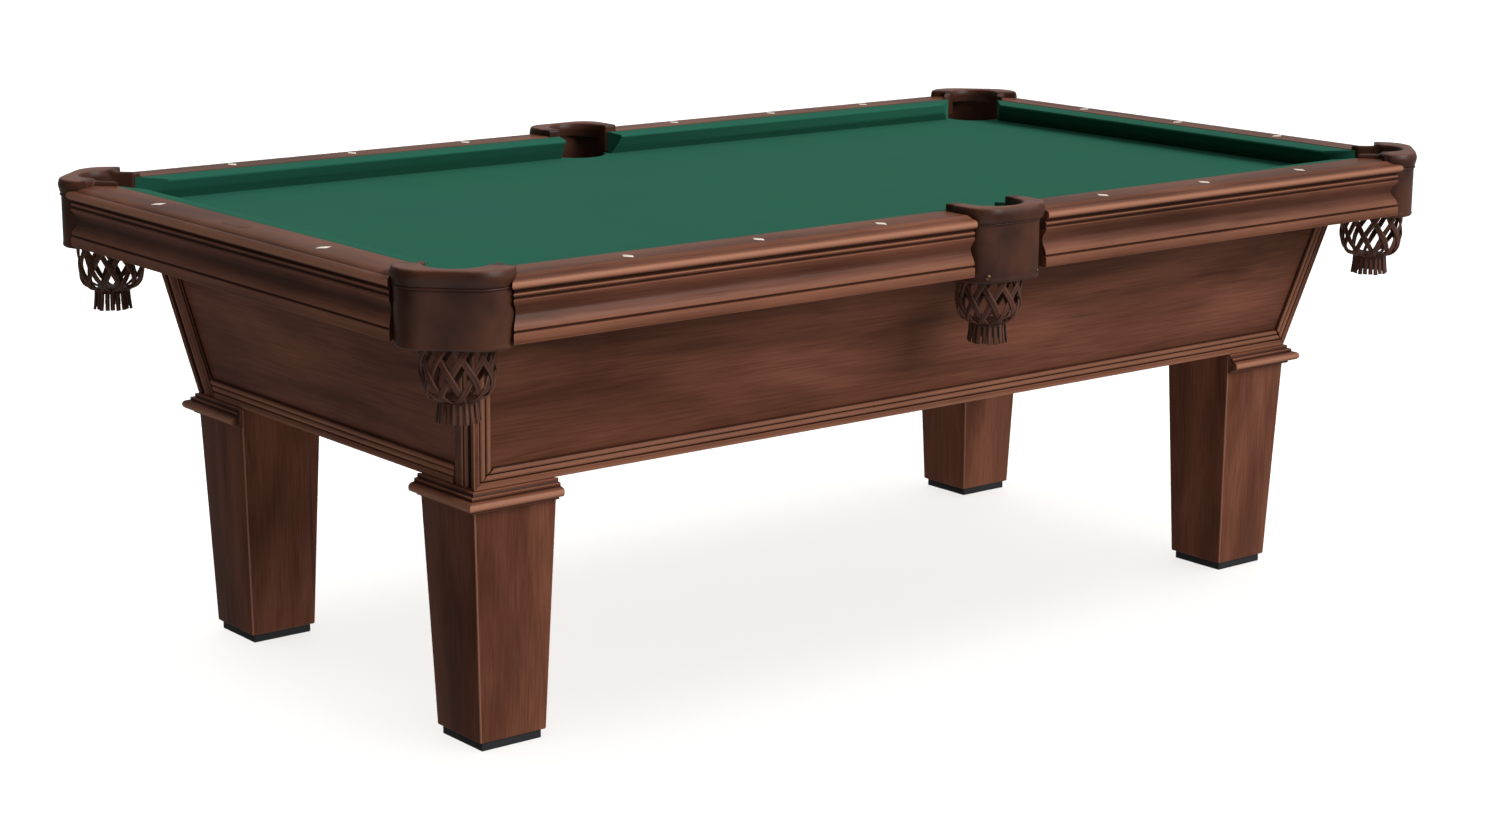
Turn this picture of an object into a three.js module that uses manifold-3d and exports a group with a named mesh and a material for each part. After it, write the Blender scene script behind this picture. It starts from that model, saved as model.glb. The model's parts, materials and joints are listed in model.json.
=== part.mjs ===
// A home pool table with a flared cabinet, square tapered legs and six drop pockets
// of leather, in millimetres. +X runs along the table, +Y across it and +Z up. The
// origin is on the floor, under the middle of the playing area.
import * as THREE from "three";
import { mergeVertices } from "three/addons/utils/BufferGeometryUtils.js";
import Module from "manifold-3d";

const wasm = await Module();
wasm.setup();

// Driving dimensions.
const NOSE_X = 992; // cushion nose to the middle of the table, along X
const NOSE_Y = 524; // and along Y
const OVERHANG = 116; // cushion nose to the rail's outer edge
const CUSHION = 36; // cushion nose to the wood of the rail
const RAIL_TOP = 792;
const RAIL_DEPTH = 100; // height of the moulded outer face of a rail
const BED = 750; // top of the bed cloth
const CLOTH = 1; // thickness of the cloth
const SLATE = 25; // thickness of the slate
const SLATE_EDGE = 48; // slate past the cushion nose
const NOSE_HEIGHT = 36; // cushion nose above the bed
const CABINET_X = 914; // half length of the cabinet at its bottom edge
const CABINET_Y = 432; // half width of the cabinet at its bottom edge
const CABINET_BOTTOM = 425;
const SLOPE_X = 0.168; // outward lean of the end boards, per mm of height
const SLOPE_Y = 0.266; // outward lean of the side boards, per mm of height
const BOARD = 22; // thickness of a cabinet board
const TRIM = 8; // thickness of the trim laid on the boards
const TRIM_ON_SIDE = 32; // width of a corner trim on a long side
const TRIM_ON_END = 58; // and on an end
const MOULDING_HEIGHT = 34;
const LEG_X = 838;
const LEG_Y = 356;
const LEG_TOP = 76; // half width of a leg under its cap
const LEG_BOTTOM = 62; // half width of a leg at its foot
const CAP_BOTTOM = 391; // underside of the moulding round the head of a leg
const FOOT = 56; // half width of a levelling foot
const FOOT_HEIGHT = 15;
const STUD = 5; // radius of the levelling screw
const STUD_TOP = 52;
const HOLE = 6; // radius of the screw's hole in the leg
const HOLE_TOP = 70;
const ROLL_TOP = 804; // top of a pocket's padded leather roll
const ROLL_BOTTOM = 777;
const BAND_WALL = 7; // thickness of the leather that hangs below the roll
const NET_TOP = 700;
const NET_WALL = 4;
const NECK = 603; // height of the knot that closes a net
const SKIRT_BOTTOM = 569; // ends of the straps below the knot
const GAP = 0.3; // air between pieces that are cut to fit each other
const FIT = 0.6; // air between a pocket and the rails round it

const RAIL_BOTTOM = RAIL_TOP - RAIL_DEPTH;
const SLATE_TOP = BED - CLOTH;
const SLATE_BOTTOM = SLATE_TOP - SLATE;

// The finishes of the real thing.
function finish(color, roughness, metalness = 0) {
  return new THREE.MeshStandardMaterial({ color, roughness, metalness });
}
const stainedWood = finish(0x6b4031, 0.45);
const framingWood = finish(0xb08a5c, 0.7);
const leather = finish(0x3e2822, 0.5);
const billiardCloth = finish(0x2d624f, 0.95);
const slateStone = finish(0x4a4e52, 0.8);
const footRubber = finish(0x16161a, 0.7);
const inlay = finish(0x5a3326, 0.35);

const table = new THREE.Group();

function addPiece(name, geometry, material) {
  const mesh = new THREE.Mesh(geometry, material);
  mesh.name = name;
  table.add(mesh);
}

// A closed geometry as a solid that can be joined and cut.
function solidOf(geometry) {
  const bare = geometry.clone();
  bare.deleteAttribute("normal");
  bare.deleteAttribute("uv");
  const merged = mergeVertices(bare);
  return new wasm.Manifold(new wasm.Mesh({
    numProp: 3,
    vertProperties: Float32Array.from(merged.attributes.position.array),
    triVerts: Uint32Array.from(merged.index.array),
  }));
}

function geometryOf(solid) {
  const mesh = solid.getMesh();
  const geometry = new THREE.BufferGeometry();
  geometry.setAttribute("position", new THREE.BufferAttribute(mesh.vertProperties, 3));
  geometry.setIndex(new THREE.BufferAttribute(mesh.triVerts, 1));
  geometry.computeVertexNormals();
  return geometry;
}

function cut(body, ...tools) {
  return geometryOf(tools.reduce((left, tool) => left.subtract(solidOf(tool)), solidOf(body)));
}

function join(first, ...others) {
  return geometryOf(others.reduce((whole, other) => whole.add(solidOf(other)), solidOf(first)));
}

// A flat shape given thickness between two heights.
function plate(shape, low, high, curveSegments = 12) {
  const geometry = new THREE.ExtrudeGeometry(shape, {
    depth: high - low,
    bevelEnabled: false,
    curveSegments,
  });
  return geometry.translate(0, 0, low);
}

function outline(points) {
  return new THREE.Shape(points.map(([x, y]) => new THREE.Vector2(x, y)));
}

function box(x0, x1, y0, y1, z0, z1) {
  const geometry = new THREE.BoxGeometry(x1 - x0, y1 - y0, z1 - z0);
  return geometry.translate((x0 + x1) / 2, (y0 + y1) / 2, (z0 + z1) / 2);
}

// Moves every corner of a geometry to where a function puts it. A function that
// mirrors turns the faces inwards, so their corners are then taken the other way.
function reshape(geometry, place) {
  const loose = geometry.index ? geometry.toNonIndexed() : geometry;
  const corner = loose.attributes.position;
  for (let i = 0; i < corner.count; i += 1) {
    corner.setXYZ(i, ...place(corner.getX(i), corner.getY(i), corner.getZ(i)));
  }
  const at = (i) => new THREE.Vector3().fromBufferAttribute(corner, i);
  let volume = 0;
  for (let i = 0; i < corner.count; i += 3) {
    volume += at(i).dot(at(i + 1).cross(at(i + 2)));
  }
  for (let i = 0; volume < 0 && i < corner.count; i += 3) {
    const [first, second] = [at(i), at(i + 1)];
    corner.setXYZ(i, second.x, second.y, second.z);
    corner.setXYZ(i + 1, first.x, first.y, first.z);
  }
  return loose;
}

// ---------------------------------------------------------------------------
// Pockets. Each has a plan of its own, drawn with u pointing out of the table
// from the corner of the nose lines and v across the mouth.
// ---------------------------------------------------------------------------
const ends = [["left", -1], ["right", 1]];
const sides = [["front", -1], ["back", 1]];
const corners = sides.flatMap(([side, y]) => (
  ends.map(([end, x]) => ({ name: `${side}_${end}`, x, y }))
));
const middles = sides.map(([side, y]) => ({ name: `${side}_middle`, x: 0, y }));

function atPocket(geometry, pocket) {
  geometry.rotateZ(Math.atan2(pocket.y, pocket.x));
  return geometry.translate(pocket.x * NOSE_X, pocket.y * NOSE_Y, 0);
}

// Corner pocket: the rails' ends are notched, across the corner at CHAMFER and
// beside the leather, which stands in the notch. Two arms line the throat.
const CORNER = {
  chamfer: 35,
  throatCentre: 30,
  throat: 50,
  arm: 62,
  halfWidth: 90,
  front: 100,
  round: 54,
  armLap: 20,
  bandBack: 40,
  bandInset: 2,
  mouth: 68,
  mouthDepth: 120,
  jaw: 52,
  slateCut: 58,
  shieldBottom: 686,
  netRadius: 56,
};
// Middle pocket: the rails' ends are square to the table's side.
const MIDDLE = {
  railEnd: 80,
  throatCentre: 60,
  throat: 53,
  halfWidth: 79.4,
  front: 128,
  round: 42,
  bandBack: 52,
  bandInset: 6,
  mouth: 66,
  jaw: 57,
  slateCut: 56,
  shieldBottom: 678,
  netRadius: 54,
};

const ARM_BOTTOM = BED + 1; // the leather at the throat's sides stands clear of the cloth
const ARM_DROP = 4; // and is this much lower than the roll
const LAP = 2; // how far joined shapes run into each other
const INWARD = 80; // how far a cut at a pocket runs in over the bed

// A U that is open towards the table: straight sides, round corners, a flat front.
function bow(pocket, inset, back) {
  const path = new THREE.Shape();
  const half = pocket.halfWidth - inset;
  const front = pocket.front - inset;
  const round = pocket.round - inset;
  path.moveTo(back, -half);
  path.lineTo(front - round, -half);
  path.absarc(front - round, -half + round, round, -Math.PI / 2, 0, false);
  path.absarc(front - round, half - round, round, 0, Math.PI / 2, false);
  path.lineTo(back, half);
  return path;
}

// The band of leather that hangs below the roll, open towards the table.
function shieldBand(pocket) {
  const { bandBack, bandInset, shieldBottom } = pocket;
  const outer = bow(pocket, bandInset, bandBack);
  const inner = bow(pocket, bandInset + BAND_WALL, bandBack - BAND_WALL);
  const top = ROLL_BOTTOM + LAP;
  return cut(plate(outer, shieldBottom, top, 6), plate(inner, shieldBottom - LAP, top + LAP, 6));
}

// The way down through the leather, open towards the bed.
function throatCut(pocket) {
  const { throat, throatCentre, shieldBottom } = pocket;
  const shape = new THREE.Shape();
  shape.moveTo(-INWARD, -throat);
  shape.lineTo(throatCentre, -throat);
  shape.absarc(throatCentre, 0, throat, -Math.PI / 2, Math.PI / 2, false);
  shape.lineTo(-INWARD, throat);
  return plate(shape, shieldBottom - LAP, ROLL_TOP + LAP, 10);
}

function cornerCollar() {
  const { arm, armLap, chamfer } = CORNER;
  const roll = plate(bow(CORNER, 0, chamfer + FIT), ROLL_BOTTOM, ROLL_TOP, 6);
  const tip = CUSHION * Math.SQRT2 + 2 * FIT; // where the backs of the two cushions meet
  const front = chamfer + armLap;
  const armShape = outline([
    [tip - arm, -arm], [front, -arm], [front, arm], [tip - arm, arm], [tip, 0],
  ]);
  const arms = plate(armShape, ARM_BOTTOM, ROLL_TOP - ARM_DROP);
  return join(cut(join(roll, arms), throatCut(CORNER)), shieldBand(CORNER));
}

function middleCollar() {
  const back = CUSHION + FIT;
  const roll = plate(bow(MIDDLE, 0, back), ROLL_BOTTOM, ROLL_TOP, 6);
  const half = MIDDLE.halfWidth;
  const arms = box(back, MIDDLE.throatCentre, -half, half, ARM_BOTTOM, ROLL_BOTTOM + LAP);
  return join(cut(join(roll, arms), throatCut(MIDDLE)), shieldBand(MIDDLE));
}

// A woven leather net gathered to a neck, with a short skirt of strap ends.
function net({ netRadius, throatCentre }) {
  const inner = netRadius - NET_WALL;
  const profile = [
    [0, SKIRT_BOTTOM], [32, SKIRT_BOTTOM], [28, NECK - 7], [34, NECK],
    [netRadius - 8, NECK + 9], [netRadius, NECK + 27], [netRadius, NET_TOP],
    [inner, NET_TOP], [inner, NECK + 29], [inner - 7, NECK + 14], [32, NECK + 6], [0, NECK + 5],
  ];
  const points = profile.map(([r, z]) => new THREE.Vector2(r, z));
  const geometry = new THREE.LatheGeometry(points, 20);
  return geometry.rotateX(Math.PI / 2).translate(throatCentre, 0, 0);
}

for (const pocket of corners) {
  addPiece(`pocket_collar_${pocket.name}`, atPocket(cornerCollar(), pocket), leather);
  addPiece(`pocket_net_${pocket.name}`, atPocket(net(CORNER), pocket), leather);
}
for (const pocket of middles) {
  addPiece(`pocket_collar_${pocket.name}`, atPocket(middleCollar(), pocket), leather);
  addPiece(`pocket_net_${pocket.name}`, atPocket(net(MIDDLE), pocket), leather);
}

// ---------------------------------------------------------------------------
// Cuts that the pockets make in what surrounds them.
// ---------------------------------------------------------------------------
const FAR = 200; // past everything that a pocket cut has to clear

function cornerRailCut(pocket, low, high) {
  const { chamfer, arm, halfWidth } = CORNER;
  const side = arm + FIT;
  const wide = halfWidth + FIT;
  const shape = outline([
    [-INWARD, -side], [chamfer, -side], [chamfer, -wide], [FAR, -wide],
    [FAR, wide], [chamfer, wide], [chamfer, side], [-INWARD, side],
  ]);
  return atPocket(plate(shape, low, high), pocket);
}

function cornerCushionCut(pocket, low, high) {
  const { mouth, mouthDepth, jaw } = CORNER;
  const shape = outline([
    [-mouthDepth, -mouth], [0, -jaw], [FAR, -jaw], [FAR, jaw], [0, jaw], [-mouthDepth, mouth],
  ]);
  return atPocket(plate(shape, low, high), pocket);
}

function middleRailCut(pocket, low, high) {
  return atPocket(box(-INWARD, FAR, -MIDDLE.railEnd, MIDDLE.railEnd, low, high), pocket);
}

function middleCushionCut(pocket, low, high) {
  const { mouth, jaw } = MIDDLE;
  const lean = (mouth - jaw) / CUSHION;
  const wide = mouth + INWARD * lean;
  const back = CUSHION + LAP;
  const narrow = jaw - LAP * lean;
  const shape = outline([[-INWARD, -wide], [back, -narrow], [back, narrow], [-INWARD, wide]]);
  return atPocket(plate(shape, low, high), pocket);
}

function bedCut(pocket, low, high) {
  const { throatCentre, slateCut } = pocket.x === 0 ? MIDDLE : CORNER;
  const disc = new THREE.CylinderGeometry(slateCut, slateCut, high - low, 32);
  disc.rotateX(Math.PI / 2).translate(throatCentre, 0, (low + high) / 2);
  const way = box(throatCentre, FAR, -slateCut + LAP, slateCut - LAP, low, high);
  return atPocket(join(disc, way), pocket);
}

// ---------------------------------------------------------------------------
// Rails and cushions. A section is drawn with w measured outwards from the nose
// and z up, and is run along the table's long or short side.
// ---------------------------------------------------------------------------
const APRON = 86; // w of the apron's inner face
const RAIL_REACH = 110; // how far a rail runs past the nose corner before it is cut
const CUSHION_REACH = -20; // and a cushion, which stops short of it

// Outer moulding, as (distance in from the outer edge, depth below the top). The flat
// top falls off towards a bead, and a rib, a cove and a band follow below it.
function mouldedEdge() {
  const bead = new THREE.Path().absarc(7, 13, 7, Math.PI * 1.5, Math.PI * 0.5, true).getPoints(5);
  return [
    [24, 0], [12.5, 5.2],
    ...bead.map((point) => [point.x, point.y]),
    [11, 20.5], [11, 25], [7, 26.5], [7, 30], [9.5, 31.5], [9.5, 33.5], [6, 35], [6.5, 40],
    [11, 45.5], [15, 53], [14, 61], [9, 68], [5.5, 74], [6, 79], [8.5, 81], [8.5, 83],
    [4, 84.5], [4, RAIL_DEPTH],
  ];
}

function railSection() {
  const edge = mouldedEdge().map(([inset, depth]) => [OVERHANG - inset, RAIL_TOP - depth]);
  return outline([
    [CUSHION + GAP, RAIL_TOP], ...edge, [APRON, RAIL_BOTTOM],
    [APRON, BED + GAP], [CUSHION + GAP, BED + GAP],
  ]);
}

function cushionSection() {
  const nose = BED + NOSE_HEIGHT;
  return outline([
    [CUSHION, RAIL_TOP - 1], [6, nose + 2.5], [1.5, nose + 0.5], [0, nose - 2], [1.5, nose - 5],
    [14, nose - 20], [26, BED + GAP], [CUSHION, BED + GAP],
  ]);
}

// Runs a section along a side. A long side's pieces lie at y = side * NOSE_Y.
function alongSide(section, from, to, side) {
  const geometry = new THREE.ExtrudeGeometry(section, { depth: to - from, bevelEnabled: false });
  geometry.translate(0, 0, from);
  return reshape(geometry, (w, z, run) => [side * run, side * (NOSE_Y + w), z]);
}

function alongEnd(section, from, to, end) {
  const geometry = new THREE.ExtrudeGeometry(section, { depth: to - from, bevelEnabled: false });
  geometry.translate(0, 0, from);
  return reshape(geometry, (w, z, run) => [end * (NOSE_X + w), end * run, z]);
}

const LOW = RAIL_BOTTOM - 20;
const HIGH = ROLL_TOP + 20;

// The stretch of a long side that one of its two halves takes.
function halfSide(reach, x, y) {
  return x * y > 0 ? [0, NOSE_X + reach] : [-NOSE_X - reach, 0];
}

for (const [side, y] of sides) {
  for (const [end, x] of ends) {
    const corner = corners.find((pocket) => pocket.x === x && pocket.y === y);
    const middle = middles.find((pocket) => pocket.y === y);
    const rail = alongSide(railSection(), ...halfSide(RAIL_REACH, x, y), y);
    const railCuts = [cornerRailCut(corner, LOW, HIGH), middleRailCut(middle, LOW, HIGH)];
    addPiece(`rail_${side}_${end}`, cut(rail, ...railCuts), stainedWood);
    const cushion = alongSide(cushionSection(), ...halfSide(CUSHION_REACH, x, y), y);
    const jaws = [cornerCushionCut(corner, LOW, HIGH), middleCushionCut(middle, LOW, HIGH)];
    addPiece(`cushion_${side}_${end}`, cut(cushion, ...jaws), billiardCloth);
  }
}

const PLATE_HALF_LENGTH = 38;
const PLATE_HALF_WIDTH = 13;
const PLATE_DEPTH = 2;
const PLATE_W = 73; // the middle of the name inlay, out from the nose

function inlayShape(grow) {
  const shape = new THREE.Shape();
  const half = PLATE_HALF_WIDTH + grow;
  const run = PLATE_HALF_LENGTH - PLATE_HALF_WIDTH;
  shape.moveTo(half, -run);
  shape.absarc(0, run, half, 0, Math.PI, false);
  shape.absarc(0, -run, half, Math.PI, 2 * Math.PI, false);
  return shape;
}

for (const [end, x] of ends) {
  const rail = alongEnd(railSection(), -NOSE_Y - RAIL_REACH, NOSE_Y + RAIL_REACH, x);
  const near = corners.filter((pocket) => pocket.x === x);
  const tools = near.map((pocket) => cornerRailCut(pocket, LOW, HIGH));
  if (x < 0) {
    const recess = plate(inlayShape(GAP), RAIL_TOP - PLATE_DEPTH - GAP, RAIL_TOP + LAP, 8);
    tools.push(recess.translate(x * (NOSE_X + PLATE_W), 0, 0));
  }
  addPiece(`rail_${end}`, cut(rail, ...tools), stainedWood);
  const cushion = alongEnd(cushionSection(), -NOSE_Y - CUSHION_REACH, NOSE_Y + CUSHION_REACH, x);
  const jaws = near.map((pocket) => cornerCushionCut(pocket, LOW, HIGH));
  addPiece(`cushion_${end}`, cut(cushion, ...jaws), billiardCloth);
}
const namePlate = plate(inlayShape(0), RAIL_TOP - PLATE_DEPTH, RAIL_TOP, 8);
addPiece("name_inlay", namePlate.translate(-(NOSE_X + PLATE_W), 0, 0), inlay);

// ---------------------------------------------------------------------------
// Bed: three slates side by side under one cloth.
// ---------------------------------------------------------------------------
const SLATE_X = NOSE_X + SLATE_EDGE;
const SLATE_Y = NOSE_Y + SLATE_EDGE;
const SLATE_JOINT = SLATE_X / 3;

// A piece of the bed from x0 to x1, cut out for the pockets that it meets.
function bedPiece(x0, x1, low, high) {
  const met = [...corners, ...middles].filter(({ x }) => x * NOSE_X > x0 && x * NOSE_X < x1);
  const cuts = met.map((pocket) => bedCut(pocket, low - LAP, high + LAP));
  return cut(box(x0, x1, -SLATE_Y, SLATE_Y, low, high), ...cuts);
}

const slates = [
  ["slate_left", -SLATE_X, -SLATE_JOINT - GAP / 2],
  ["slate_middle", -SLATE_JOINT + GAP / 2, SLATE_JOINT - GAP / 2],
  ["slate_right", SLATE_JOINT + GAP / 2, SLATE_X],
];
for (const [name, x0, x1] of slates) {
  addPiece(name, bedPiece(x0, x1, SLATE_BOTTOM, SLATE_TOP - GAP), slateStone);
}
addPiece("bed_cloth", bedPiece(-SLATE_X, SLATE_X, SLATE_TOP, BED), billiardCloth);

// ---------------------------------------------------------------------------
// Cabinet: leaning boards, mitred at the corners, with trims laid on them.
// ---------------------------------------------------------------------------
// Leans a plan that is drawn at the cabinet's bottom edge outwards with height.
function lean(geometry) {
  return reshape(geometry, (x, y, z) => {
    const rise = z - CABINET_BOTTOM;
    return [x + Math.sign(x) * SLOPE_X * rise, y + Math.sign(y) * SLOPE_Y * rise, z];
  });
}

const BOARD_X = CABINET_X - TRIM; // outer faces of the boards, at the bottom
const BOARD_Y = CABINET_Y - TRIM;
const CABINET_TOP = SLATE_BOTTOM - GAP;

for (const [side, y] of sides) {
  const outer = BOARD_X - GAP;
  const plan = outline([
    [-outer, y * BOARD_Y], [outer, y * BOARD_Y],
    [outer - BOARD, y * (BOARD_Y - BOARD)], [-outer + BOARD, y * (BOARD_Y - BOARD)],
  ]);
  addPiece(`cabinet_side_${side}`, lean(plate(plan, CABINET_BOTTOM, CABINET_TOP)), stainedWood);
}
for (const [end, x] of ends) {
  const outer = BOARD_Y - GAP;
  const plan = outline([
    [x * BOARD_X, -outer], [x * BOARD_X, outer],
    [x * (BOARD_X - BOARD), outer - BOARD], [x * (BOARD_X - BOARD), -outer + BOARD],
  ]);
  addPiece(`cabinet_end_${end}`, lean(plate(plan, CABINET_BOTTOM, CABINET_TOP)), stainedWood);
}

// Corner trims: an L of moulding up each corner, above the base moulding.
const TRIM_LOW = CABINET_BOTTOM + MOULDING_HEIGHT + GAP;
for (const { name, x, y } of corners) {
  const inX = x * (BOARD_X + GAP);
  const inY = y * (BOARD_Y + GAP);
  const plan = outline([
    [x * CABINET_X, y * CABINET_Y], [x * (CABINET_X - TRIM_ON_SIDE), y * CABINET_Y],
    [x * (CABINET_X - TRIM_ON_SIDE), inY], [inX, inY],
    [inX, y * (CABINET_Y - TRIM_ON_END)], [x * CABINET_X, y * (CABINET_Y - TRIM_ON_END)],
  ]);
  addPiece(`corner_trim_${name}`, lean(plate(plan, TRIM_LOW, CABINET_TOP)), stainedWood);
}

// Base moulding: three small beads along the bottom edge, mitred at the corners.
function baseSection() {
  const bead = (low, high) => {
    const middle = (low + high) / 2;
    const half = (high - low) / 2;
    return [[-3, low], [-0.8, middle - half * 0.7], [0, middle], [-0.8, middle + half * 0.7], [-3, high]];
  };
  return [
    [-TRIM + GAP, 0], [0, 0], [0, 6], ...bead(7.5, 15), ...bead(16.5, 24), ...bead(25.5, 33),
    [-4, MOULDING_HEIGHT], [-TRIM + GAP, MOULDING_HEIGHT],
  ];
}

// A section of (outward, up) run between two mitred corners. place turns outward,
// up and the run along the side into x, y and z.
function mitred(section, halfLength, place) {
  const geometry = new THREE.ExtrudeGeometry(outline(section), { depth: 2, bevelEnabled: false });
  return reshape(geometry.translate(0, 0, -1), (out, up, run) => {
    const along = Math.sign(run) * (halfLength + out - GAP / 2);
    return place(out, CABINET_BOTTOM + up, along);
  });
}

for (const [side, y] of sides) {
  const place = (out, z, along) => [y * along, y * (CABINET_Y + out), z];
  addPiece(`base_moulding_${side}`, lean(mitred(baseSection(), CABINET_X, place)), stainedWood);
}
for (const [end, x] of ends) {
  const place = (out, z, along) => [x * (CABINET_X + out), x * along, z];
  addPiece(`base_moulding_${end}`, lean(mitred(baseSection(), CABINET_Y, place)), stainedWood);
}

// Framing: a T-shaped cross beam over each pair of legs, one beam between them, and
// a flat slat under each joint of the slates.
const BEAM_X = 808; // middle of a cross beam
const BEAM_FLANGE = 70; // half width of the foot of a cross beam
const BEAM_WEB = 22; // half thickness of its upright
const FLANGE_HEIGHT = 36;
const CENTRE_BEAM_HEIGHT = 140;
const SLAT = 20; // thickness of a slat
const SLAT_HALF = 45; // half width of a slat
const FRAME_Y = BOARD_Y - BOARD - GAP; // where the framing meets the side boards

// Stretches framing out sideways to the leaning boards.
function meetSides(geometry) {
  return reshape(geometry, (x, y, z) => {
    const rise = z - CABINET_BOTTOM;
    return [x, y + Math.sign(y) * SLOPE_Y * rise, z];
  });
}

function crossBeam() {
  const low = CABINET_BOTTOM;
  const shelf = low + FLANGE_HEIGHT;
  const flange = box(-BEAM_FLANGE, BEAM_FLANGE, -FRAME_Y, FRAME_Y, low, shelf);
  const web = box(-BEAM_WEB, BEAM_WEB, -FRAME_Y, FRAME_Y, shelf - LAP, CABINET_TOP);
  return meetSides(join(flange, web));
}

for (const [end, x] of ends) {
  addPiece(`cross_beam_${end}`, crossBeam().translate(x * BEAM_X, 0, 0), framingWood);
  const slat = meetSides(box(-SLAT_HALF, SLAT_HALF, -FRAME_Y, FRAME_Y, CABINET_TOP - SLAT, CABINET_TOP));
  addPiece(`joint_slat_${end}`, slat.translate(x * SLATE_JOINT, 0, 0), framingWood);
}
const centreTop = CABINET_TOP - SLAT - GAP;
const centreEnd = BEAM_X - BEAM_WEB - GAP;
const centreLow = centreTop - CENTRE_BEAM_HEIGHT;
const centreBeam = box(-centreEnd, centreEnd, -BEAM_WEB, BEAM_WEB, centreLow, centreTop);
addPiece("centre_beam", centreBeam, framingWood);

// ---------------------------------------------------------------------------
// Legs: square and tapered, with a moulding round the two outer sides of the
// head and a rubber foot on a levelling screw.
// ---------------------------------------------------------------------------
// A square turned profile, from (half width, height) pairs.
function squareTurned(profile) {
  const points = profile.map(([half, z]) => new THREE.Vector2(half * Math.SQRT2, z));
  return new THREE.LatheGeometry(points, 4).rotateX(Math.PI / 2).rotateZ(Math.PI / 4);
}

// A round bar standing upright.
function upright(radius, low, high) {
  const geometry = new THREE.CylinderGeometry(radius, radius, high - low, 12);
  return geometry.rotateX(Math.PI / 2).translate(0, 0, (low + high) / 2);
}

const LEG_HEAD = CABINET_BOTTOM - GAP;
function leg() {
  const body = squareTurned([
    [0, FOOT_HEIGHT], [LEG_BOTTOM, FOOT_HEIGHT], [LEG_TOP, CAP_BOTTOM],
    [LEG_TOP, LEG_HEAD], [0, LEG_HEAD],
  ]);
  return cut(body, upright(HOLE, FOOT_HEIGHT - LAP, HOLE_TOP));
}

function levellingFoot() {
  const pad = box(-FOOT, FOOT, -FOOT, FOOT, 0, FOOT_HEIGHT - GAP);
  return join(pad, upright(STUD, FOOT_HEIGHT - LAP, STUD_TOP));
}

// Cap moulding, as (outward from the leg, up from its underside).
const CAP_HEIGHT = CABINET_BOTTOM - CAP_BOTTOM - GAP;
const capSection = [
  [GAP, 0], [7, 0], [7, 5], [12, 8], [18, 10], [22, 14], [22, 18], [18, 22], [11, 23],
  [11, 27], [5, 29], [5, CAP_HEIGHT], [GAP, CAP_HEIGHT],
];

// One length of cap moulding: square at its inner end and mitred at the outer one.
function capLength() {
  const geometry = new THREE.ExtrudeGeometry(outline(capSection), { depth: 2, bevelEnabled: false });
  return reshape(geometry.translate(0, 0, -1), (out, up, run) => {
    const along = run < 0 ? -LEG_TOP : LEG_TOP + out;
    return [LEG_TOP + out, along, CAP_BOTTOM + up];
  });
}

function legCap(x, y) {
  const onEnd = capLength();
  const onSide = reshape(capLength(), (px, py, pz) => [py, px, pz]);
  return reshape(join(onEnd, onSide), (px, py, pz) => [x * px, y * py, pz]);
}

for (const { name, x, y } of corners) {
  const stand = (geometry) => geometry.translate(x * LEG_X, y * LEG_Y, 0);
  addPiece(`leg_${name}`, stand(leg()), stainedWood);
  addPiece(`leg_cap_${name}`, stand(legCap(x, y)), stainedWood);
  addPiece(`levelling_foot_${name}`, stand(levellingFoot()), footRubber);
}

export default table;
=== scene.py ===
import json
import math

import bpy
from mathutils import Matrix, Vector

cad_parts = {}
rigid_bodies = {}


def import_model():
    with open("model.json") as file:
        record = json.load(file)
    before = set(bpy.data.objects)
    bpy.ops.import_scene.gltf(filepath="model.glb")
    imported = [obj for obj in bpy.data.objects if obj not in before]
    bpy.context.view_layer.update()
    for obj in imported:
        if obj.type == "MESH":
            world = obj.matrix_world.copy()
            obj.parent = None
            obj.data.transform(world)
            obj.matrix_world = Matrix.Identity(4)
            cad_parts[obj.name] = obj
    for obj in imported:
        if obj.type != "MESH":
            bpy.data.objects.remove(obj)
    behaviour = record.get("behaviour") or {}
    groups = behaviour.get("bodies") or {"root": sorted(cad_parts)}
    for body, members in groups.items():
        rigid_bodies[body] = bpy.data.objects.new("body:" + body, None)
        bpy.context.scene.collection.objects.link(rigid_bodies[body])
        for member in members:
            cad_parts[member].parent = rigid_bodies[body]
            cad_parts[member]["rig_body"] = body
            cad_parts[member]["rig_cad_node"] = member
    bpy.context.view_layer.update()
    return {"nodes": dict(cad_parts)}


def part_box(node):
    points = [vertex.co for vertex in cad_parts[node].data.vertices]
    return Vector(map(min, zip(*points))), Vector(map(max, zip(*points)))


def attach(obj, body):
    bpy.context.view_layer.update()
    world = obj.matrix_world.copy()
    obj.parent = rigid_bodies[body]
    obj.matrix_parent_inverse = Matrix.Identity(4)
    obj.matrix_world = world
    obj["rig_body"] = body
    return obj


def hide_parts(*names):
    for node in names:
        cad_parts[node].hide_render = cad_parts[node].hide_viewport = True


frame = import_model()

# ---------------------------------------------------------------------------------
# Studio. A camera off the front left corner looks across the table, in the light of
# large soft boxes. The pale floor has a light of its own and returns none to the table;
# a weak light from below stands for what a darker floor would return.
# ---------------------------------------------------------------------------------
def rgb(code):
    """An sRGB hex colour as linear red, green, blue and alpha."""
    shares = [int(code[i:i + 2], 16) / 255 for i in (0, 2, 4)]
    linear = [s / 12.92 if s <= 0.04045 else ((s + 0.055) / 1.055) ** 2.4 for s in shares]
    return (*linear, 1.0)


def add_node(material, kind, settings=(), sockets=(), links=()):
    """Adds a shader node, with its settings, its sockets' values and what feeds them."""
    node = material.node_tree.nodes.new("ShaderNode" + kind)
    for name, value in dict(settings).items():
        setattr(node, name, value)
    for name, value in dict(sockets).items():
        node.inputs[name].default_value = value
    for name, source in dict(links).items():
        material.node_tree.links.new(source, node.inputs[name])
    return node


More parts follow.
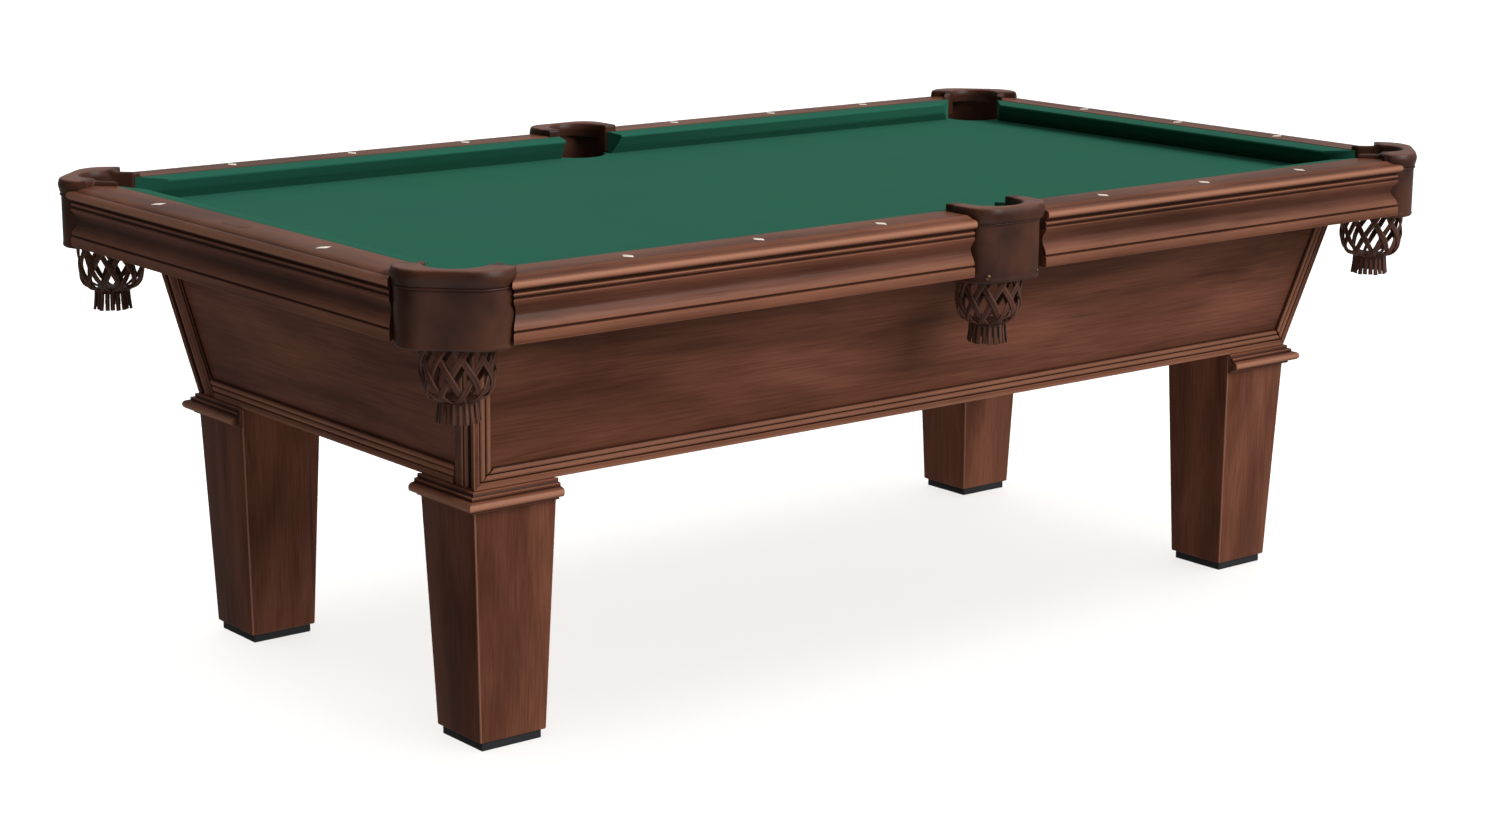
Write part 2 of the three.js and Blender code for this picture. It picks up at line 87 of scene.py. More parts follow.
def new_material(name, **values):
    """A material with its shader's own sockets set, and that shader."""
    material = bpy.data.materials.new(name)
    material.use_nodes = True
    shader = material.node_tree.nodes["Principled BSDF"]
    for socket, value in values.items():
        shader.inputs[socket.replace("_", " ")].default_value = value
    return material, shader


def feed(material, shader, **links):
    """Links outputs to the sockets of a material's shader."""
    for socket, source in links.items():
        material.node_tree.links.new(source, shader.inputs[socket.replace("_", " ")])


CAMERA_PLACE = (-3.275, -4.037, 1.537)
CAMERA_TURN = math.radians(-38.63)
CAMERA_DROP = math.radians(13.0)
CAMERA_ROLL = math.radians(0.29)
LENS = 70.95
SENSOR_WIDTH = 36
SIGHT_LIMIT = 100  # metres
FLOOR_SIZE = 120

camera_data = bpy.data.cameras.new("camera")
camera_data.lens = LENS
camera_data.sensor_width = SENSOR_WIDTH
camera_data.clip_end = SIGHT_LIMIT
camera = bpy.data.objects.new("camera", camera_data)
bpy.context.scene.collection.objects.link(camera)
camera.matrix_world = (
    Matrix.Translation(CAMERA_PLACE)
    @ Matrix.Rotation(CAMERA_TURN, 4, "Z")
    @ Matrix.Rotation(math.pi / 2 - CAMERA_DROP, 4, "X")
    @ Matrix.Rotation(CAMERA_ROLL, 4, "Z")
)
bpy.context.scene.camera = camera
bpy.context.scene.view_settings.view_transform = "Standard"


def daylight(name, towards, strength, spread, shadow=True):
    """Even light from one side, spread over an angle in degrees as a soft box spreads it."""
    data = bpy.data.lights.new(name, "SUN")
    data.energy = strength
    data.angle = math.radians(spread)
    data.use_shadow = shadow
    light = bpy.data.objects.new(name, data)
    bpy.context.scene.collection.objects.link(light)
    light.rotation_euler = Vector(towards).to_track_quat("-Z", "Y").to_euler()
    return light


key_light = daylight("key_light", (-0.32, 0.76, -0.56), 3.6, 40)
bounce_light = daylight("bounce_light", (0.55, 0.4, 0.73), 1.15, 90)
daylight("fill_light", (0, 0, -1), 0.7, 60, shadow=False)
floor_light = daylight("floor_light", (0, 0, -1), 3.2, 60, shadow=False)

# The air is dim on the left of the table and brighter on its right.
world = bpy.data.worlds.new("studio")
world.use_nodes = True
background = world.node_tree.nodes["Background"]
background.inputs["Color"].default_value = rgb("ffffff")
direction = world.node_tree.nodes.new("ShaderNodeTexCoord")
split = world.node_tree.nodes.new("ShaderNodeSeparateXYZ")
shade = world.node_tree.nodes.new("ShaderNodeMapRange")
for socket, value in (("From Min", -0.9), ("From Max", 0.5), ("To Min", 0.06), ("To Max", 0.42)):
    shade.inputs[socket].default_value = value
world.node_tree.links.new(direction.outputs["Generated"], split.inputs["Vector"])
world.node_tree.links.new(split.outputs["X"], shade.inputs["Value"])
world.node_tree.links.new(shade.outputs["Result"], background.inputs["Strength"])
bpy.context.scene.world = world

bpy.ops.object.select_all(action="DESELECT")
bpy.ops.mesh.primitive_plane_add(size=FLOOR_SIZE)
floor = bpy.context.object
floor.name = "floor"
painted_floor, _ = new_material("painted_floor", Base_Color=rgb("f3f2f0"), Roughness=0.7)
floor.data.materials.append(painted_floor)
floor.visible_diffuse = False
floor.visible_glossy = False
floor.visible_shadow = False
for light, state in (
    (key_light, "EXCLUDE"), (bounce_light, "EXCLUDE"), (floor_light, "INCLUDE")
):
    receivers = bpy.data.collections.new(light.name + "_on")
    receivers.objects.link(floor)
    receivers.collection_objects[0].light_linking.link_state = state
    light.light_linking.receiver_collection = receivers

# ---------------------------------------------------------------------------------
# Rails. Six lengths of hardwood, moulded with a bead, a cove and a band, and cut off
# at the pockets. They are stained red brown and lacquered satin. The quirks and the
# cove's hollow are painted darker, as dark glaze and painted shade, and the beads'
# crests lighter, as rubbing and painted highlight.
# ---------------------------------------------------------------------------------
MM = 0.001
NOSE_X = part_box("cushion_right")[0].x
NOSE_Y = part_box("cushion_back_right")[0].y
RAIL_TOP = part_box("rail_left")[1].z
RAIL_DEPTH = RAIL_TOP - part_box("rail_left")[0].z
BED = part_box("bed_cloth")[1].z
OVERHANG = -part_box("rail_left")[0].x - NOSE_X
CUSHION = 36 * MM  # width of the cushion, from its nose to the wood
APRON = 86 * MM  # nose to the back of the apron, the part that hides the slate
CHAMFER = 35 * MM  # from a corner of the nose lines to the rails' ends, along the diagonal
ARM = 62.6 * MM  # half width of the leather that fills a corner pocket's mouth
BESIDE = 90.6 * MM  # half width of its roll and shield
MIDDLE_END = 80 * MM  # from the middle of a side pocket to the rails' ends
RAIL_GAP = 0.3 * MM
TURN = {"back": 0, "left": 90, "front": 180, "right": 270}
CORNERS = {
    "front_left": (-1, -1), "front_right": (1, -1),
    "back_left": (-1, 1), "back_right": (1, 1),
}


def only(*pieces):
    """Leaves just these pieces selected, the first of them active."""
    bpy.ops.object.select_all(action="DESELECT")
    for piece in pieces:
        piece.select_set(True)
    bpy.context.view_layer.objects.active = pieces[0]


def settle(piece, matrix):
    """Moves a piece and leaves its object at the origin."""
    only(piece)
    piece.matrix_world = matrix
    bpy.ops.object.transform_apply(location=True, rotation=True, scale=True)


def copy_of(piece, name):
    """A second piece like it, with its own mesh."""
    only(piece)
    bpy.ops.object.duplicate()
    second = bpy.context.object
    second.name = name
    return second


def joined(name, *pieces):
    """The pieces as one, under one name."""
    only(*pieces)
    if len(pieces) > 1:
        bpy.ops.object.join()
    whole = bpy.context.object
    whole.name = name
    return whole


def saw(piece, point, away):
    """Cuts a piece through a plane, drops the side that away points to, closes the cut."""
    only(piece)
    bpy.ops.object.mode_set(mode="EDIT")
    bpy.ops.mesh.select_all(action="SELECT")
    bpy.ops.mesh.bisect(plane_co=point, plane_no=away, use_fill=True, clear_outer=True)
    bpy.ops.object.mode_set(mode="OBJECT")


def drawn(name, points):
    """A line drawn from point to point, left in edit mode."""
    bpy.ops.object.select_all(action="DESELECT")
    bpy.ops.mesh.primitive_plane_add(size=MM, location=points[0])
    line = bpy.context.object
    line.name = name
    bpy.ops.object.transform_apply()
    bpy.ops.object.mode_set(mode="EDIT")
    bpy.ops.mesh.merge(type="CENTER")
    for here, there in zip(points, points[1:]):
        step = [b - a for a, b in zip(here, there)]
        bpy.ops.mesh.extrude_vertices_move(TRANSFORM_OT_translate={"value": step})
    return line


def moulding(name, outline, length):
    """A length of moulding along X. Its section, of points (out, up, tone) in mm, is drawn,
    filled and pulled out. tone is -1 for dark glaze with painted shade, 1 for rubbing with
    painted highlight."""
    piece = drawn(name, [(-length / 2, out * MM, up * MM) for out, up, _ in outline])
    bpy.ops.mesh.select_all(action="SELECT")
    bpy.ops.mesh.edge_face_add()
    bpy.ops.mesh.extrude_region_move(TRANSFORM_OT_translate={"value": (length, 0, 0)})
    bpy.ops.mesh.select_all(action="SELECT")
    bpy.ops.mesh.normals_make_consistent(inside=False)
    bpy.ops.object.mode_set(mode="OBJECT")
    tones = piece.data.attributes.new("tone", "FLOAT", "POINT")
    for vertex in piece.data.vertices:
        y, z = vertex.co.yz / MM
        near = min(outline, key=lambda point: (point[0] - y) ** 2 + (point[1] - z) ** 2)
        tones.data[vertex.index].value = near[2]
    return piece


def round_over(centre_out, centre_up, radius, start, end, steps, tone):
    """Points along an arc of a moulding's section. Angles are in degrees, 0 outwards and
    90 up, and the tone, a painted highlight on the crest, is strongest half way."""
    points = []
    for i in range(steps + 1):
        share = i / steps
        angle = math.radians(start + (end - start) * share)
        out = centre_out + radius * math.cos(angle)
        up = centre_up + radius * math.sin(angle)
        points.append((out, up, tone * math.sin(math.pi * share) ** 3))
    return points


def finish_off(piece, material, body="table", replaces=(), angle=32):
    """Shades a piece, gives it its material and says what it rides on and stands for."""
    only(piece)
    bpy.ops.object.shade_smooth_by_angle(angle=math.radians(angle))
    piece.data.materials.clear()
    piece.data.materials.append(material)
    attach(piece, body)
    if replaces:
        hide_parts(*replaces)
    return piece


def toned(material, colour, sunk, rub_and_highlight):
    """Goes over a colour with one for the hollows, where tone is below 0, and one for the
    crests, where it is above: painted shade and painted highlight, which on the wood also
    stand for dark glaze in the hollows and rubbing on the crests."""
    tone = add_node(material, "Attribute", {"attribute_name": "tone"})
    for sign, code in ((-1.0, sunk), (1.0, rub_and_highlight)):
        share = add_node(
            material, "Math", {"operation": "MULTIPLY", "use_clamp": True}, {1: sign},
            {0: tone.outputs["Fac"]},
        )
        colour = add_node(
            material, "MixRGB", {}, {"Color2": rgb(code)},
            {"Fac": share.outputs["Value"], "Color1": colour},
        ).outputs["Color"]
    return colour


def stained_hardwood(name, grain):
    """Poplar or maple, planed and sanded, with a red-brown stain and satin lacquer. The eye
    gets soft clouds, fine lines along the grain and a few dark mineral streaks. The quirks
    are painted dark, as glaze and as painted shade, and the beads' crests lighter, as
    rubbing and as painted highlight. grain is the axis it runs along."""
    material, shader = new_material(
        name, IOR=1.5, Coat_Weight=0.05, Coat_Roughness=0.15, Specular_IOR_Level=0.06
    )

    def along(across_mm, length_mm):
        """Object coordinates squeezed to marks of this width and length."""
        scale = [1 / (across_mm * MM)] * 3
        scale[grain] = 1 / (length_mm * MM)
        return add_node(
            material, "Mapping", {}, {"Scale": scale}, {"Vector": coordinates.outputs["Object"]}
        ).outputs["Vector"]

    coordinates = add_node(material, "TexCoord")
    clouds = add_node(
        material, "TexNoise", {}, {"Scale": 1.0, "Detail": 3.0, "Distortion": 0.4},
        {"Vector": along(95, 420)},
    )
    fibres = add_node(
        material, "TexNoise", {}, {"Scale": 1.0, "Detail": 5.0, "Roughness": 0.6},
        {"Vector": along(3.2, 110)},
    )
    streaks = add_node(
        material, "TexNoise", {}, {"Scale": 1.0, "Detail": 2.0, "Distortion": 0.7},
        {"Vector": along(26, 330)},
    )
    body = add_node(material, "ValToRGB", {}, {}, {"Fac": clouds.outputs["Fac"]})
    body.color_ramp.elements[0].position = 0.32
    body.color_ramp.elements[0].color = rgb("4e2d1f")
    body.color_ramp.elements[1].position = 0.70
    body.color_ramp.elements[1].color = rgb("774a38")
    lines = add_node(material, "ValToRGB", {}, {}, {"Fac": fibres.outputs["Fac"]})
    lines.color_ramp.elements[0].position = 0.30
    lines.color_ramp.elements[0].color = rgb("c9bdb6")
    lines.color_ramp.elements[1].position = 0.62
    lines.color_ramp.elements[1].color = rgb("ffffff")
    grained = add_node(
        material, "MixRGB", {"blend_type": "MULTIPLY"}, {"Fac": 0.7},
        {"Color1": body.outputs["Color"], "Color2": lines.outputs["Color"]},
    )
    mineral = add_node(material, "ValToRGB", {}, {}, {"Fac": streaks.outputs["Fac"]})
    mineral.color_ramp.elements[0].position = 0.66
    mineral.color_ramp.elements[0].color = (0, 0, 0, 1)
    mineral.color_ramp.elements[1].position = 0.80
    mineral.color_ramp.elements[1].color = (0.75, 0.75, 0.75, 1)
    streaked = add_node(
        material, "MixRGB", {}, {"Color2": rgb("331a12")},
        {"Fac": mineral.outputs["Color"], "Color1": grained.outputs["Color"]},
    )
    sheen = add_node(
        material, "MapRange", {}, {"To Min": 0.34, "To Max": 0.46}, {"Value": fibres.outputs["Fac"]}
    )
    pores = add_node(
        material, "Bump", {}, {"Strength": 0.12, "Distance": 0.2 * MM},
        {"Height": fibres.outputs["Fac"]},
    )
    # Painted shade with dark glaze, 22120b, goes in the hollows and painted highlight with rubbing,
    # 9c6c55, on the crests.
    feed(
        material, shader,
        Base_Color=toned(material, streaked.outputs["Color"], "22120b", "9c6c55"),
        Roughness=sheen.outputs["Result"], Normal=pores.outputs["Normal"],
    )
    return material


wood_along_x = stained_hardwood("stained_hardwood_long", 0)
wood_along_y = stained_hardwood("stained_hardwood_across", 1)
wood_upright = stained_hardwood("stained_hardwood_upright", 2)


def rail_outline():
    """Section of a rail, out from the nose line and up from the rail's top, in mm."""
    edge = OVERHANG / MM
    back = CUSHION / MM + RAIL_GAP / MM
    apron = APRON / MM
    depth = -RAIL_DEPTH / MM
    ledge = (BED - RAIL_TOP + RAIL_GAP) / MM
    # The cove is painted dark in its hollow and lighter towards its lower lip: painted shade and
    # painted highlight.
    cove = []
    for i in range(17):
        share = i / 16
        hollow = 9.6 * math.sin(math.pi * share ** 0.85) ** 2
        tone = -0.55 * math.sin(math.pi * share ** 0.85) ** 4 + 0.8 * max(0, share - 0.6)
        cove.append((edge - 5.4 - hollow, -36 - 43 * share, tone))
    # The third value is the tone: dark glaze with painted shade in the quirks, along the cloth and
    # under the rail, and painted highlight with rubbing on the bead and the small roll.
    return [
        (back, -1.2, -0.5), (back + 0.8, 0, 0), (back + 4, 0, 0.1), (edge - 25, 0, 0),
        (edge - 21, -0.9, 0.15), (edge - 12.8, -5, 0), (edge - 11.8, -6.2, -0.8),
        (edge - 10.4, -5.4, 0.1),
        *round_over(edge - 7, -13, 7, 90, -80, 12, 0.85),
        (edge - 10.2, -20.8, -0.8), (edge - 10.6, -24.4, -0.9), (edge - 9.2, -25.6, -0.4),
        *round_over(edge - 8, -27.6, 1.9, 80, -30, 4, 0.6),
        (edge - 7, -30.4, -0.4), (edge - 9, -31.6, -0.9), (edge - 9, -33.6, -0.9),
        (edge - 6.2, -34.8, 0.2),
        *cove,
        (edge - 6.4, -80.2, -0.3), (edge - 8, -81, -0.8), (edge - 8, -82.8, -0.8),
        (edge - 5, -84, 0.3), (edge - 4, -85.2, 0.3), (edge - 4, depth + 2, 0),
        (edge - 4.6, depth + 0.6, 0.2), (edge - 6, depth, 0),
        (apron, depth, -0.3), (apron, ledge, -0.3), (back, ledge, -0.3),
    ]


rail_stock = moulding("rail_stock", rail_outline(), 2 * (NOSE_X + OVERHANG))
EXTENT = {"back": NOSE_Y, "front": NOSE_Y, "left": NOSE_X, "right": NOSE_X}


def laid_at(side):
    """Turns a length that runs along X, drawn outwards from a nose line, to its side."""
    turn = Matrix.Rotation(math.radians(TURN[side]), 4, "Z")
    return turn @ Matrix.Translation((0, EXTENT[side], 0))


def corner_saw(piece, x, y, turned):
    """Notches a rail's end round the leather at a corner. It goes up to the throat's sides
    under the roll, and outside that it runs on beside the shield to a point."""
    out = Vector((x, y, 0)).normalized()
    corner = Vector((x * NOSE_X, y * NOSE_Y, 0))
    across = Vector((-x, y, 0)).normalized()
    if turned:
        across = -across
    point = copy_of(piece, "point")
    saw(piece, corner + out * CHAMFER, out)
    saw(piece, corner + across * ARM, -across)
    saw(point, corner + out * CHAMFER, -out)
    saw(point, corner + across * BESIDE, -across)
    return joined(piece.name, piece, point)


for side in ("back", "front"):
    y = 1 if side == "back" else -1
    for end, x in (("left", -1), ("right", 1)):
        rail = copy_of(rail_stock, f"rail_{side}_{end}_moulded")
        settle(rail, laid_at(side) @ Matrix.Translation((0, 0, RAIL_TOP)))
        rail = corner_saw(rail, x, y, turned=False)
        saw(rail, (x * MIDDLE_END, 0, 0), (-x, 0, 0))
        finish_off(rail, wood_along_x, replaces=[f"rail_{side}_{end}"])
for side, x in (("left", -1), ("right", 1)):
    rail = copy_of(rail_stock, f"rail_{side}_moulded")
    settle(rail, laid_at(side) @ Matrix.Translation((0, 0, RAIL_TOP)))
    for y in (-1, 1):
        rail = corner_saw(rail, x, y, turned=True)
    finish_off(rail, wood_along_y, replaces=[f"rail_{side}"])
bpy.data.objects.remove(rail_stock)

# ---------------------------------------------------------------------------------
# Sights and inlay. Diamonds of cream celluloid are let into the rails at the quarter
# points of the playing area, and a blank plate into the left end rail.
# ---------------------------------------------------------------------------------
SIGHT_LENGTH = 32 * MM  # across the rail
SIGHT_WIDTH = 19 * MM  # along the rail
SIGHT_OUT = 72 * MM  # from the cushion's nose to a sight's middle
SIGHT_THICK = 1.5 * MM
SIGHT_EASE = 1.2 * MM
PROUD = 0.15 * MM
STEPS_LONG = NOSE_X / 4
STEPS_SHORT = NOSE_Y / 2


def cream_celluloid():
    """Cast cellulose, sawn and polished flush: cream, with faint pearly clouds."""
    material, shader = new_material("cream_celluloid", Roughness=0.25, IOR=1.5, Coat_Weight=0.3)
    coordinates = add_node(material, "TexCoord")
    pearl = add_node(
        material, "TexNoise", {}, {"Scale": 1 / (6 * MM), "Detail": 3.0, "Distortion": 1.2},
        {"Vector": coordinates.outputs["Object"]},
    )
    ramp = add_node(material, "ValToRGB", {}, {}, {"Fac": pearl.outputs["Fac"]})
    ramp.color_ramp.elements[0].color = rgb("f0dcc0")
    ramp.color_ramp.elements[1].color = rgb("fff8ea")
    feed(material, shader, Base_Color=ramp.outputs["Color"])
    return material


def diamond(x, y, turned):
    """One sight, pointed across the rail, with its edges eased."""
    bpy.ops.object.select_all(action="DESELECT")
    place = (x, y, RAIL_TOP + PROUD - SIGHT_THICK / 2)
    bpy.ops.mesh.primitive_cylinder_add(vertices=4, radius=0.5, depth=SIGHT_THICK, location=place)
    sight = bpy.context.object
    sight.scale = (SIGHT_LENGTH, SIGHT_WIDTH, 1) if turned else (SIGHT_WIDTH, SIGHT_LENGTH, 1)
    bpy.ops.object.transform_apply(location=True, rotation=True, scale=True)
    bpy.ops.object.mode_set(mode="EDIT")
    bpy.ops.mesh.bevel(offset=SIGHT_EASE, segments=2, affect="EDGES")
    bpy.ops.object.mode_set(mode="OBJECT")
    return sight


celluloid = cream_celluloid()
for side, y in (("front", -1), ("back", 1)):
    sights = [
        diamond(x * step * STEPS_LONG, y * (NOSE_Y + SIGHT_OUT), False)
        for x in (-1, 1) for step in (1, 2, 3)
    ]
    finish_off(joined(f"sights_{side}", *sights), celluloid)
for side, x in (("left", -1), ("right", 1)):
    sights = [
        diamond(x * (NOSE_X + SIGHT_OUT), y * STEPS_SHORT, True)
        for y in (-1, 0, 1) if side == "right" or y
    ]
    finish_off(joined(f"sights_{side}", *sights), celluloid)

PLATE_LOW, PLATE_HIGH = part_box("name_inlay")
plate_half = (PLATE_HIGH - PLATE_LOW) / 2
plate_middle = (PLATE_HIGH + PLATE_LOW) / 2
BORDER = 0.4 * MM
LINE_SLOPE = 1.1 * MM  # width of each side of the sunk line
LINE_DEPTH = 0.4 * MM


def select_faces(piece, chosen):
    """Selects the faces whose normals pass a test, and stays in edit mode."""
    bpy.ops.object.mode_set(mode="EDIT")
    bpy.ops.mesh.select_mode(type="FACE")
    bpy.ops.mesh.select_all(action="DESELECT")
    bpy.ops.object.mode_set(mode="OBJECT")
    for face in piece.data.polygons:
        face.select = chosen(face.normal)
    bpy.ops.object.mode_set(mode="EDIT")


def blank_plate():
    """A race-track plate, softened at its edge, with a border line sunk round a blank field."""
    bpy.ops.object.select_all(action="DESELECT")
    bpy.ops.mesh.primitive_cylinder_add(
        vertices=48, radius=plate_half.x, depth=2 * plate_half.z,
        location=plate_middle + Vector((0, 0, PROUD)),
    )
    plate = bpy.context.object
    plate.name = "inlay_plate"
    bpy.ops.object.transform_apply(location=True)
    run = plate_half.y - plate_half.x
    for vertex in plate.data.vertices:
        vertex.co.y += run if vertex.co.y > 0 else -run
    select_faces(plate, lambda normal: normal.z > 0.9)
    bpy.ops.mesh.inset(thickness=BORDER)
    bpy.ops.mesh.inset(thickness=LINE_SLOPE, depth=-LINE_DEPTH)
    bpy.ops.mesh.inset(thickness=LINE_SLOPE, depth=LINE_DEPTH)
    bpy.ops.mesh.select_mode(type="VERT")
    bpy.ops.object.mode_set(mode="OBJECT")
    # The sunk line is painted dark, as glaze and painted shade, and the rest of the plate is a
    # little darker than the wood.
    tones = plate.data.attributes.new("tone", "FLOAT", "POINT")
    for vertex in plate.data.vertices:
        sunk = plate_middle.z + plate_half.z + PROUD - vertex.co.z
        tones.data[vertex.index].value = -1 if sunk > 0.1 * MM else -0.2
    return plate


finish_off(blank_plate(), wood_along_y, replaces=["name_inlay"])

# ---------------------------------------------------------------------------------
# Cushions and bed cloth. Green worsted, a smooth woven wool, is wrapped round the
# rubber cushions and stretched over the slates, down round the pockets' edges.
# ---------------------------------------------------------------------------------
CORNER_MOUTH = 68 * MM  # half width of a corner mouth, MOUTH_DEPTH in from its throat
MOUTH_DEPTH = 120 * MM
CORNER_JAW = 52 * MM  # half width of a corner pocket where the cushions end
MIDDLE_MOUTH = 66 * MM
MIDDLE_JAW = 57 * MM
CLOTH_TURN = 10 * MM  # how far the bed cloth goes down round an edge
SLIVER = 0.05 * MM


def green_worsted():
    """Worsted wool, woven tight and sheared: an even green with a faint nap, and no shine
    but a soft bloom at grazing angles. The weave is drawn at 1 mm, coarser than it is, so
    that it shows."""
    material, shader = new_material(
        "green_worsted", Roughness=0.95, Sheen_Weight=0.04, Sheen_Roughness=0.5,
        Sheen_Tint=rgb("7fbfa2"), Specular_IOR_Level=0.06,
    )
    coordinates = add_node(material, "TexCoord")
    nap = add_node(
        material, "TexNoise", {}, {"Scale": 1 / (2.2 * MM), "Detail": 3.0, "Roughness": 0.7},
        {"Vector": coordinates.outputs["Object"]},
    )
    chalk = add_node(
        material, "TexNoise", {}, {"Scale": 1 / (240 * MM), "Detail": 2.0},
        {"Vector": coordinates.outputs["Object"]},
    )
    shade = add_node(material, "ValToRGB", {}, {}, {"Fac": nap.outputs["Fac"]})
    shade.color_ramp.elements[0].position = 0.25
    shade.color_ramp.elements[0].color = rgb("1f5443")
    shade.color_ramp.elements[1].position = 0.75
    shade.color_ramp.elements[1].color = rgb("265f4d")
    worn = add_node(
        material, "MixRGB", {"blend_type": "MULTIPLY"}, {"Fac": 0.12},
        {"Color1": shade.outputs["Color"], "Color2": chalk.outputs["Color"]},
    )
    warp = add_node(
        material, "TexWave", {"bands_direction": "X"}, {"Scale": 1 / (20 * MM)},
        {"Vector": coordinates.outputs["Object"]},
    )
    weft = add_node(
        material, "TexWave", {"bands_direction": "Y"}, {"Scale": 1 / (20 * MM)},
        {"Vector": coordinates.outputs["Object"]},
    )
    weave = add_node(
        material, "Math", {"operation": "ADD"}, {},
        {0: warp.outputs["Fac"], 1: weft.outputs["Fac"]},
    )
    raised = add_node(
        material, "Bump", {}, {"Strength": 0.15, "Distance": 0.15 * MM},
        {"Height": weave.outputs["Value"]},
    )
    feed(material, shader, Base_Color=worn.outputs["Color"], Normal=raised.outputs["Normal"])
    return material


worsted = green_worsted()


def cushion_outline():
    """Section of a cushion, out from its nose and up from the bed."""
    back = CUSHION / MM
    foot = RAIL_GAP / MM
    return [
        (back, 40.6, 0), (back - 1.5, 41.2, 0), (back - 8, 40.9, 0), (16, 39.4, 0),
        *round_over(3.4, 34.8, 3.4, 100, 215, 8, 0),
        (4, 28.6, 0), (9, 21.5, 0), (16, 12, 0), (24, 3, 0), (26, foot, 0), (back, foot, 0),
    ]


cushion_stock = moulding("cushion_stock", cushion_outline(), 2 * NOSE_X)


def jaw_saw(piece, x, y, turned):
    """Cuts a cushion's end at a corner pocket to the flare of the jaw."""
    out = Vector((x, y, 0)).normalized()
    across = Vector((-x, y, 0)).normalized()
    if turned:
        across = -across
    corner = Vector((x * NOSE_X, y * NOSE_Y, 0))
    narrow = corner + across * CORNER_JAW
    wide = corner + across * CORNER_MOUTH - out * MOUTH_DEPTH
    run = (wide - narrow).normalized()
    away = run.cross(Vector((0, 0, 1)))
    if away.dot(across) > 0:
        away = -away
    saw(piece, narrow, away)


for side in ("back", "front"):
    y = 1 if side == "back" else -1
    for end, x in (("left", -1), ("right", 1)):
        cushion = copy_of(cushion_stock, f"cushion_{side}_{end}_covered")
        settle(cushion, laid_at(side) @ Matrix.Translation((0, 0, BED)))
        jaw_saw(cushion, x, y, turned=False)
        flare = Vector((x * CUSHION, y * (MIDDLE_MOUTH - MIDDLE_JAW), 0))
        saw(cushion, (x * MIDDLE_MOUTH, y * NOSE_Y, 0), Vector((-flare.x, -flare.y, 0)))
        finish_off(cushion, worsted, replaces=[f"cushion_{side}_{end}"], angle=50)
for side, x in (("left", -1), ("right", 1)):
    cushion = copy_of(cushion_stock, f"cushion_{side}_covered")
    settle(cushion, laid_at(side) @ Matrix.Translation((0, 0, BED)))
    for y in (-1, 1):
        jaw_saw(cushion, x, y, turned=True)
    finish_off(cushion, worsted, replaces=[f"cushion_{side}"], angle=50)
bpy.data.objects.remove(cushion_stock)


def from_frame(node, name):
    """A copy of a node of the frame, free of its body, its loose triangles merged."""
    piece = copy_of(frame["nodes"][node], name)
    piece.parent = None
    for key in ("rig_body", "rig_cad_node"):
        del piece[key]
    bpy.ops.object.mode_set(mode="EDIT")
    bpy.ops.mesh.select_all(action="SELECT")
    bpy.ops.mesh.remove_doubles(threshold=SLIVER)
    bpy.ops.object.mode_set(mode="OBJECT")
    return piece


def stretched_cloth():
    """The bed cloth: the flat sheet, its edges and pocket cuts turned down."""
    cloth = from_frame("bed_cloth", "bed_cloth_stretched")
    select_faces(cloth, lambda normal: normal.z < 0.9)
    bpy.ops.mesh.delete(type="FACE")
    bpy.ops.mesh.select_all(action="SELECT")
    bpy.ops.mesh.dissolve_limited(angle_limit=math.radians(1))
    bpy.ops.mesh.select_all(action="SELECT")
    bpy.ops.mesh.region_to_loop()
    bpy.ops.mesh.extrude_region_move(TRANSFORM_OT_translate={"value": (0, 0, -CLOTH_TURN)})
    bpy.ops.mesh.select_all(action="SELECT")
    bpy.ops.mesh.normals_make_consistent(inside=False)
    bpy.ops.mesh.select_mode(type="VERT")
    bpy.ops.object.mode_set(mode="OBJECT")
    return cloth


bed_cloth = stretched_cloth()
bed_cloth.data.materials.clear()
finish_off(bed_cloth, worsted, replaces=["bed_cloth"])

# ---------------------------------------------------------------------------------
# Slates. Three sawn slabs of grey slate, ground flat, under the cloth. Only their cut
# edges show, down through the pockets and from under the table.
# ---------------------------------------------------------------------------------
def ground_slate():
    """Slate: dark blue grey, in faint layers under 4 mm thick, dull from grinding."""
    material, shader = new_material("ground_slate", Roughness=0.75)
    coordinates = add_node(material, "TexCoord")
    layers = add_node(
        material, "Mapping", {}, {"Scale": (12.0, 12.0, 260.0)},
        {"Vector": coordinates.outputs["Object"]},
    )
    cleft = add_node(
        material, "TexNoise", {}, {"Scale": 1.0, "Detail": 6.0, "Roughness": 0.65},
        {"Vector": layers.outputs["Vector"]},
    )
    ramp = add_node(material, "ValToRGB", {}, {}, {"Fac": cleft.outputs["Fac"]})
    ramp.color_ramp.elements[0].color = rgb("2f3438")
    ramp.color_ramp.elements[1].color = rgb("62686c")
    rough = add_node(
        material, "Bump", {}, {"Strength": 0.3, "Distance": 0.5 * MM},
        {"Height": cleft.outputs["Fac"]},
    )
    feed(material, shader, Base_Color=ramp.outputs["Color"], Normal=rough.outputs["Normal"])
    return material


def refinish(node, material):
    """Gives a node of the frame its material."""
    frame["nodes"][node].data.materials.clear()
    frame["nodes"][node].data.materials.append(material)


slate = ground_slate()
for name in ("slate_left", "slate_middle", "slate_right"):
    refinish(name, slate)

